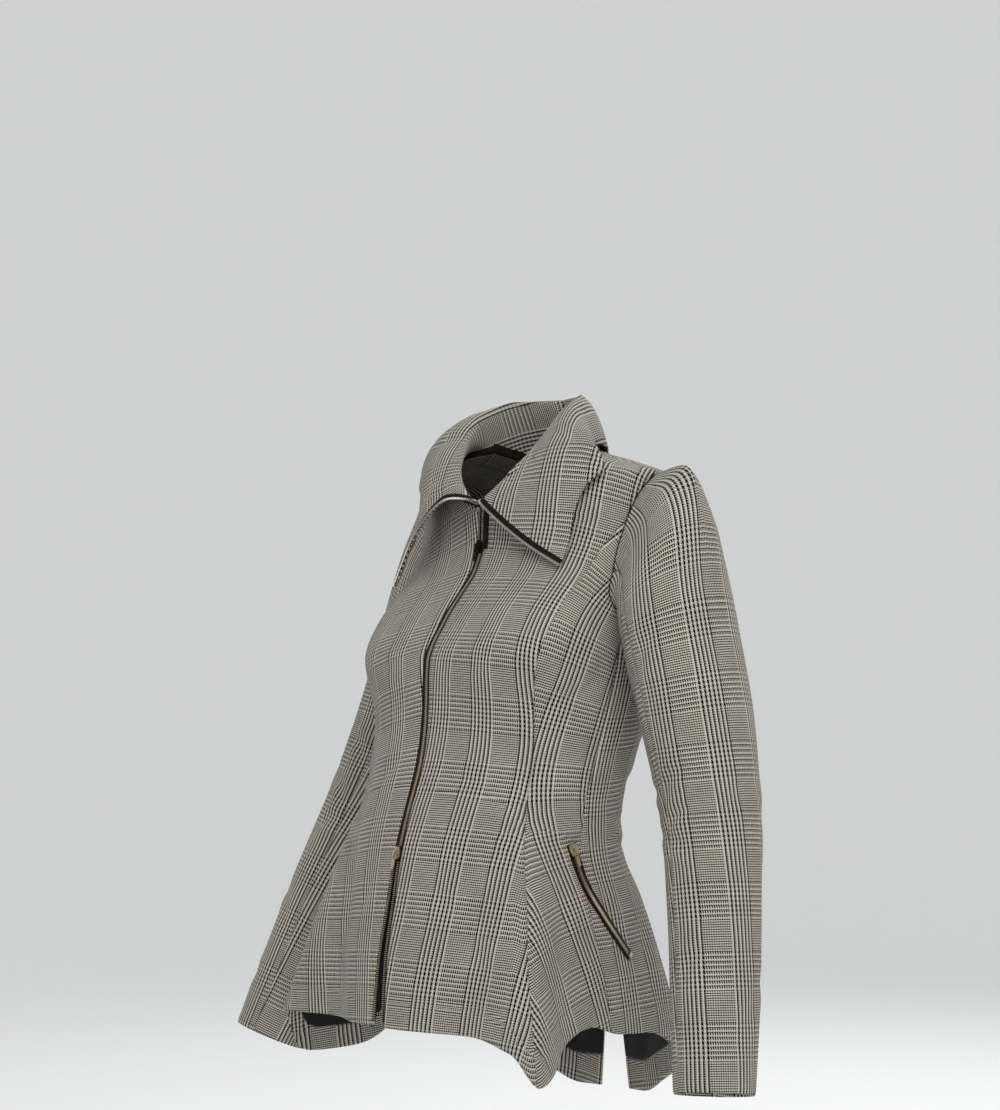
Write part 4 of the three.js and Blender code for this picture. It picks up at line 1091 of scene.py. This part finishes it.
toothShape = makeTooth()
front, onCollar = zips["front"], zips["collar"]
z = np.linspace(front["foot"], front["top"], 240)
path, out = frontPath(1, front["offset"] + 0 * z, z, zips["sunk"])
teeth = setTeeth("teeth_front", path, out, brass, (-1, 1))
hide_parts("zip_chain")
for side, sign in bothSides:
    z = np.linspace(hemHeight(side, 2.0) + front["aboveHem"], front["highest"], 330)
    edge = lookUp(frontOpening, "z", z)["x"]
    ease = front["ease"]
    shut = np.clip((z - front["foot"]) / ease, 0, 1) * np.clip((front["top"] - z) / ease, 0, 1)
    inner = lerp(edge - front["shows"], front["shutEdge"], shut)
    path, out = frontPath(sign, (edge + inner) / 2, z, zips["sunk"] + front["under"][side])
    half = float(np.median(edge - inner)) / 2
    piece = setTape(f"tape_front_{side}", path, out, -half, half, zipTape)
    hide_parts(f"zip_tape_{side}")
    for part, keep, inside, metal in (
        ("low", z < front["foot"] - front["belowFoot"], zips["sunk"], brass),
        ("high", z > front["top"] + front["aboveTop"], -front["raised"], nickel),
    ):
        path, out = frontPath(sign, edge[keep] - front["offset"], z[keep], inside)
        setTeeth(f"teeth_front_{part}_{side}", path, out, metal)
    if side == "left":  # above the top slider the left tape lies open on the front, as it does on the collar
        opened = front["open"]
        keep = z > front["top"] + opened["aboveTop"]
        path, out = frontPath(
            sign, edge[keep] + opened["half"] - opened["overEdge"], z[keep], -opened["raised"],
        )
        setTape("tape_front_open_left", path, out, -opened["half"], opened["half"], zipTape)
    collar = collarPoints[side]
    rows = np.arange(int(collar.shape[0] * onCollar["from"]), collar.shape[0])
    line, beside = collar[rows, 0], collar[rows, 3]
    normals = gridNormals(collar)[rows, 0] * -sign
    inward = unit(beside - line)
    path = line + inward * onCollar["in"] + normals * onCollar["raised"]
    piece = setTape(f"tape_collar_{side}", path, normals, -onCollar["half"], onCollar["half"], zipTape)
    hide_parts(f"collar_tape_{side}")
    path = line - inward * onCollar["teethOut"] + normals * onCollar["teethRaised"]
    setTeeth(f"teeth_collar_{side}", path, normals, nickel)
    neck, half = collar[0], bindings["neckHalf"]  # the tape that binds the neck seam inside
    inward = unit((np.array([0, 10, 0]) - neck) * np.array([1, 1, 0]))
    path = neck + inward * bindings["neckIn"]
    setTape(f"tape_neck_{side}", path, inward, -half, half, zipTape, zips["thinThick"])
    ring = lookUp(armhole, "turn", np.linspace(0, 359.9, 240))
    half = bindings["armholeHalf"]  # the tape that binds the armhole seam inside
    out = bodyNormal(side, sign * ring["angle"], ring["z"])
    under = cloth["wool"] + bindings["armholeUnder"]
    path = bodySurface(side, sign * ring["angle"], ring["z"]) - out * under
    setTape(f"tape_armhole_{side}", path, out, -half, half, zipTape, zips["thinThick"])
print("front and collar zips made")

pocketLine = table(
    "at angle z",
    (0, 76.2, -374), (1, 78.9, -389), (2, 83, -415), (3, 90, -439.5), (4, 98.6, -464), (5, 105, -481),
)


# The right side's span across a path, from the left side's
def mirrored(span, sign):
    return span if sign > 0 else (-span[1], -span[0])


for side, sign in bothSides:
    place = zips["pocket"]
    found = lookUp(pocketLine, "at", np.linspace(0, 5, place["rows"]))
    path = bodySurface(side, sign * found["angle"], found["z"])
    out = bodyNormal(side, sign * found["angle"], found["z"])
    line, thick = path + out * place["tapeRaised"], zips["pocketTapeThick"]
    tape = setTape(f"tape_pocket_{side}", line, out, *mirrored(place["tape"], sign), zipTape, thick)
    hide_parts(f"pocket_{side}_tape")
    # A narrow strip of the black lining beside the teeth: painted shadow standing in for the shade in the
    # pocket's opening
    line, thick = path + out * place["paintedShadowRaised"], zips["thinThick"]
    setTape(f"painted_shadow_pocket_{side}", line, out, *mirrored(place["paintedShadowSpan"], sign), lining, thick)
    span = slice(*(int(place["rows"] * place[end] / 5) for end in ("from", "to")))
    line = (path + out * place["teethRaised"])[span]
    teeth = setTeeth(f"teeth_pocket_{side}", line, out[span], brass, (-1, 1))
    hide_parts(f"pocket_{side}_chain")
print("pocket zips made")

# Camera, light and floor
view = {
    "azimuth": 45, "distance": 2.6, "height": -0.244, "lens": 88.15, "shiftX": -0.0198, "shiftY": 0.1306,
    "floor": -0.95, "reach": 7.0, "paint": ("#F2F2F2", "#F5F5F5"),
}


def addCamera():
    turn = math.radians(view["azimuth"])
    camera = bpy.data.objects.new("camera", bpy.data.cameras.new("camera"))
    camera.location = (view["distance"] * math.sin(turn), -view["distance"] * math.cos(turn), view["height"])
    camera.rotation_euler = (math.pi / 2, 0, turn)
    camera.data.lens = view["lens"]
    camera.data.sensor_width = 36
    camera.data.shift_x, camera.data.shift_y = view["shiftX"], view["shiftY"]
    camera.data.clip_end = 60
    bpy.context.scene.collection.objects.link(camera)
    bpy.context.scene.camera = camera


lights = {
    "key": {"azimuth": 50, "elevation": 44, "distance": 3.2, "size": 1.6, "power": 62},
    "fill": {"azimuth": 75, "elevation": 12, "distance": 3.6, "size": 2.4, "power": 10},
    "back": {"azimuth": 200, "elevation": 35, "distance": 3.2, "size": 1.8, "power": 30},
}
world = {"colour": "#E6E7E8", "strength": 0.84}


def addLights():
    middle = Vector((0, 0, -0.3))
    for name, light in lights.items():
        data = bpy.data.lights.new(name, "AREA")
        data.size, data.energy = light["size"], light["power"]
        lamp = bpy.data.objects.new(name, data)
        turn, rise = math.radians(light["azimuth"]), math.radians(light["elevation"])
        back = Vector((math.sin(turn) * math.cos(rise), -math.cos(turn) * math.cos(rise), math.sin(rise)))
        lamp.location = middle + back * light["distance"]
        lamp.rotation_euler = back.to_track_quat("Z", "Y").to_euler()
        bpy.context.scene.collection.objects.link(lamp)
    surround = bpy.data.worlds.new("studio")
    surround.use_nodes = True
    background = surround.node_tree.nodes["Background"]
    background.inputs[0].default_value = linear(world["colour"])
    background.inputs[1].default_value = world["strength"]
    bpy.context.scene.world = surround


# Painted studio floor that rises into a wall all round
def addFloor():
    bpy.ops.object.select_all(action="DESELECT")
    reach = view["reach"]
    profile = [(0.01, 0)] + [(reach * t, 0) for t in (0.2, 0.4, 0.6)]
    bend = np.linspace(0.1, math.pi / 2, 12)
    profile += [(reach * (0.6 + 0.4 * math.sin(t)), reach * 0.4 * (1 - math.cos(t))) for t in bend]
    profile += [(reach, reach * 0.9)]
    rounds = 72
    points, faces = [], []
    for x, z in profile:
        for i in range(rounds):
            turn = 2 * math.pi * i / rounds
            points.append((x * math.cos(turn), x * math.sin(turn), view["floor"] + z))
    for r in range(len(profile) - 1):
        for i in range(rounds):
            j = (i + 1) % rounds
            faces.append((r * rounds + i, r * rounds + j, (r + 1) * rounds + j, (r + 1) * rounds + i))
    mesh = bpy.data.meshes.new("floor")
    mesh.from_pydata(points, [], faces)
    mesh.polygons.foreach_set("use_smooth", [True] * len(mesh.polygons))
    material, tree, shader = newMaterial("matt pale studio paint")
    setShader(shader, Roughness=0.9, Specular_IOR_Level=0.1)
    place = add(tree, "ShaderNodeTexCoord").outputs["Object"]
    noise = add(tree, "ShaderNodeTexNoise", Vector=place, Scale=1.2)
    tree.links.new(mixColours(tree, noise.outputs[0], *view["paint"]), shader.inputs["Base Color"])
    mesh.materials.append(material)
    floor = bpy.data.objects.new("floor", mesh)
    bpy.context.scene.collection.objects.link(floor)


addCamera()
bpy.context.scene.view_settings.view_transform = "Standard"
addLights()
addFloor()
for name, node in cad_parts.items():
    finish = zipTape if "tape" in name else darkBrass if name.startswith("zip_top") else brass
    node.data.materials.clear()
    node.data.materials.append(finish)
print("camera, light and floor made")
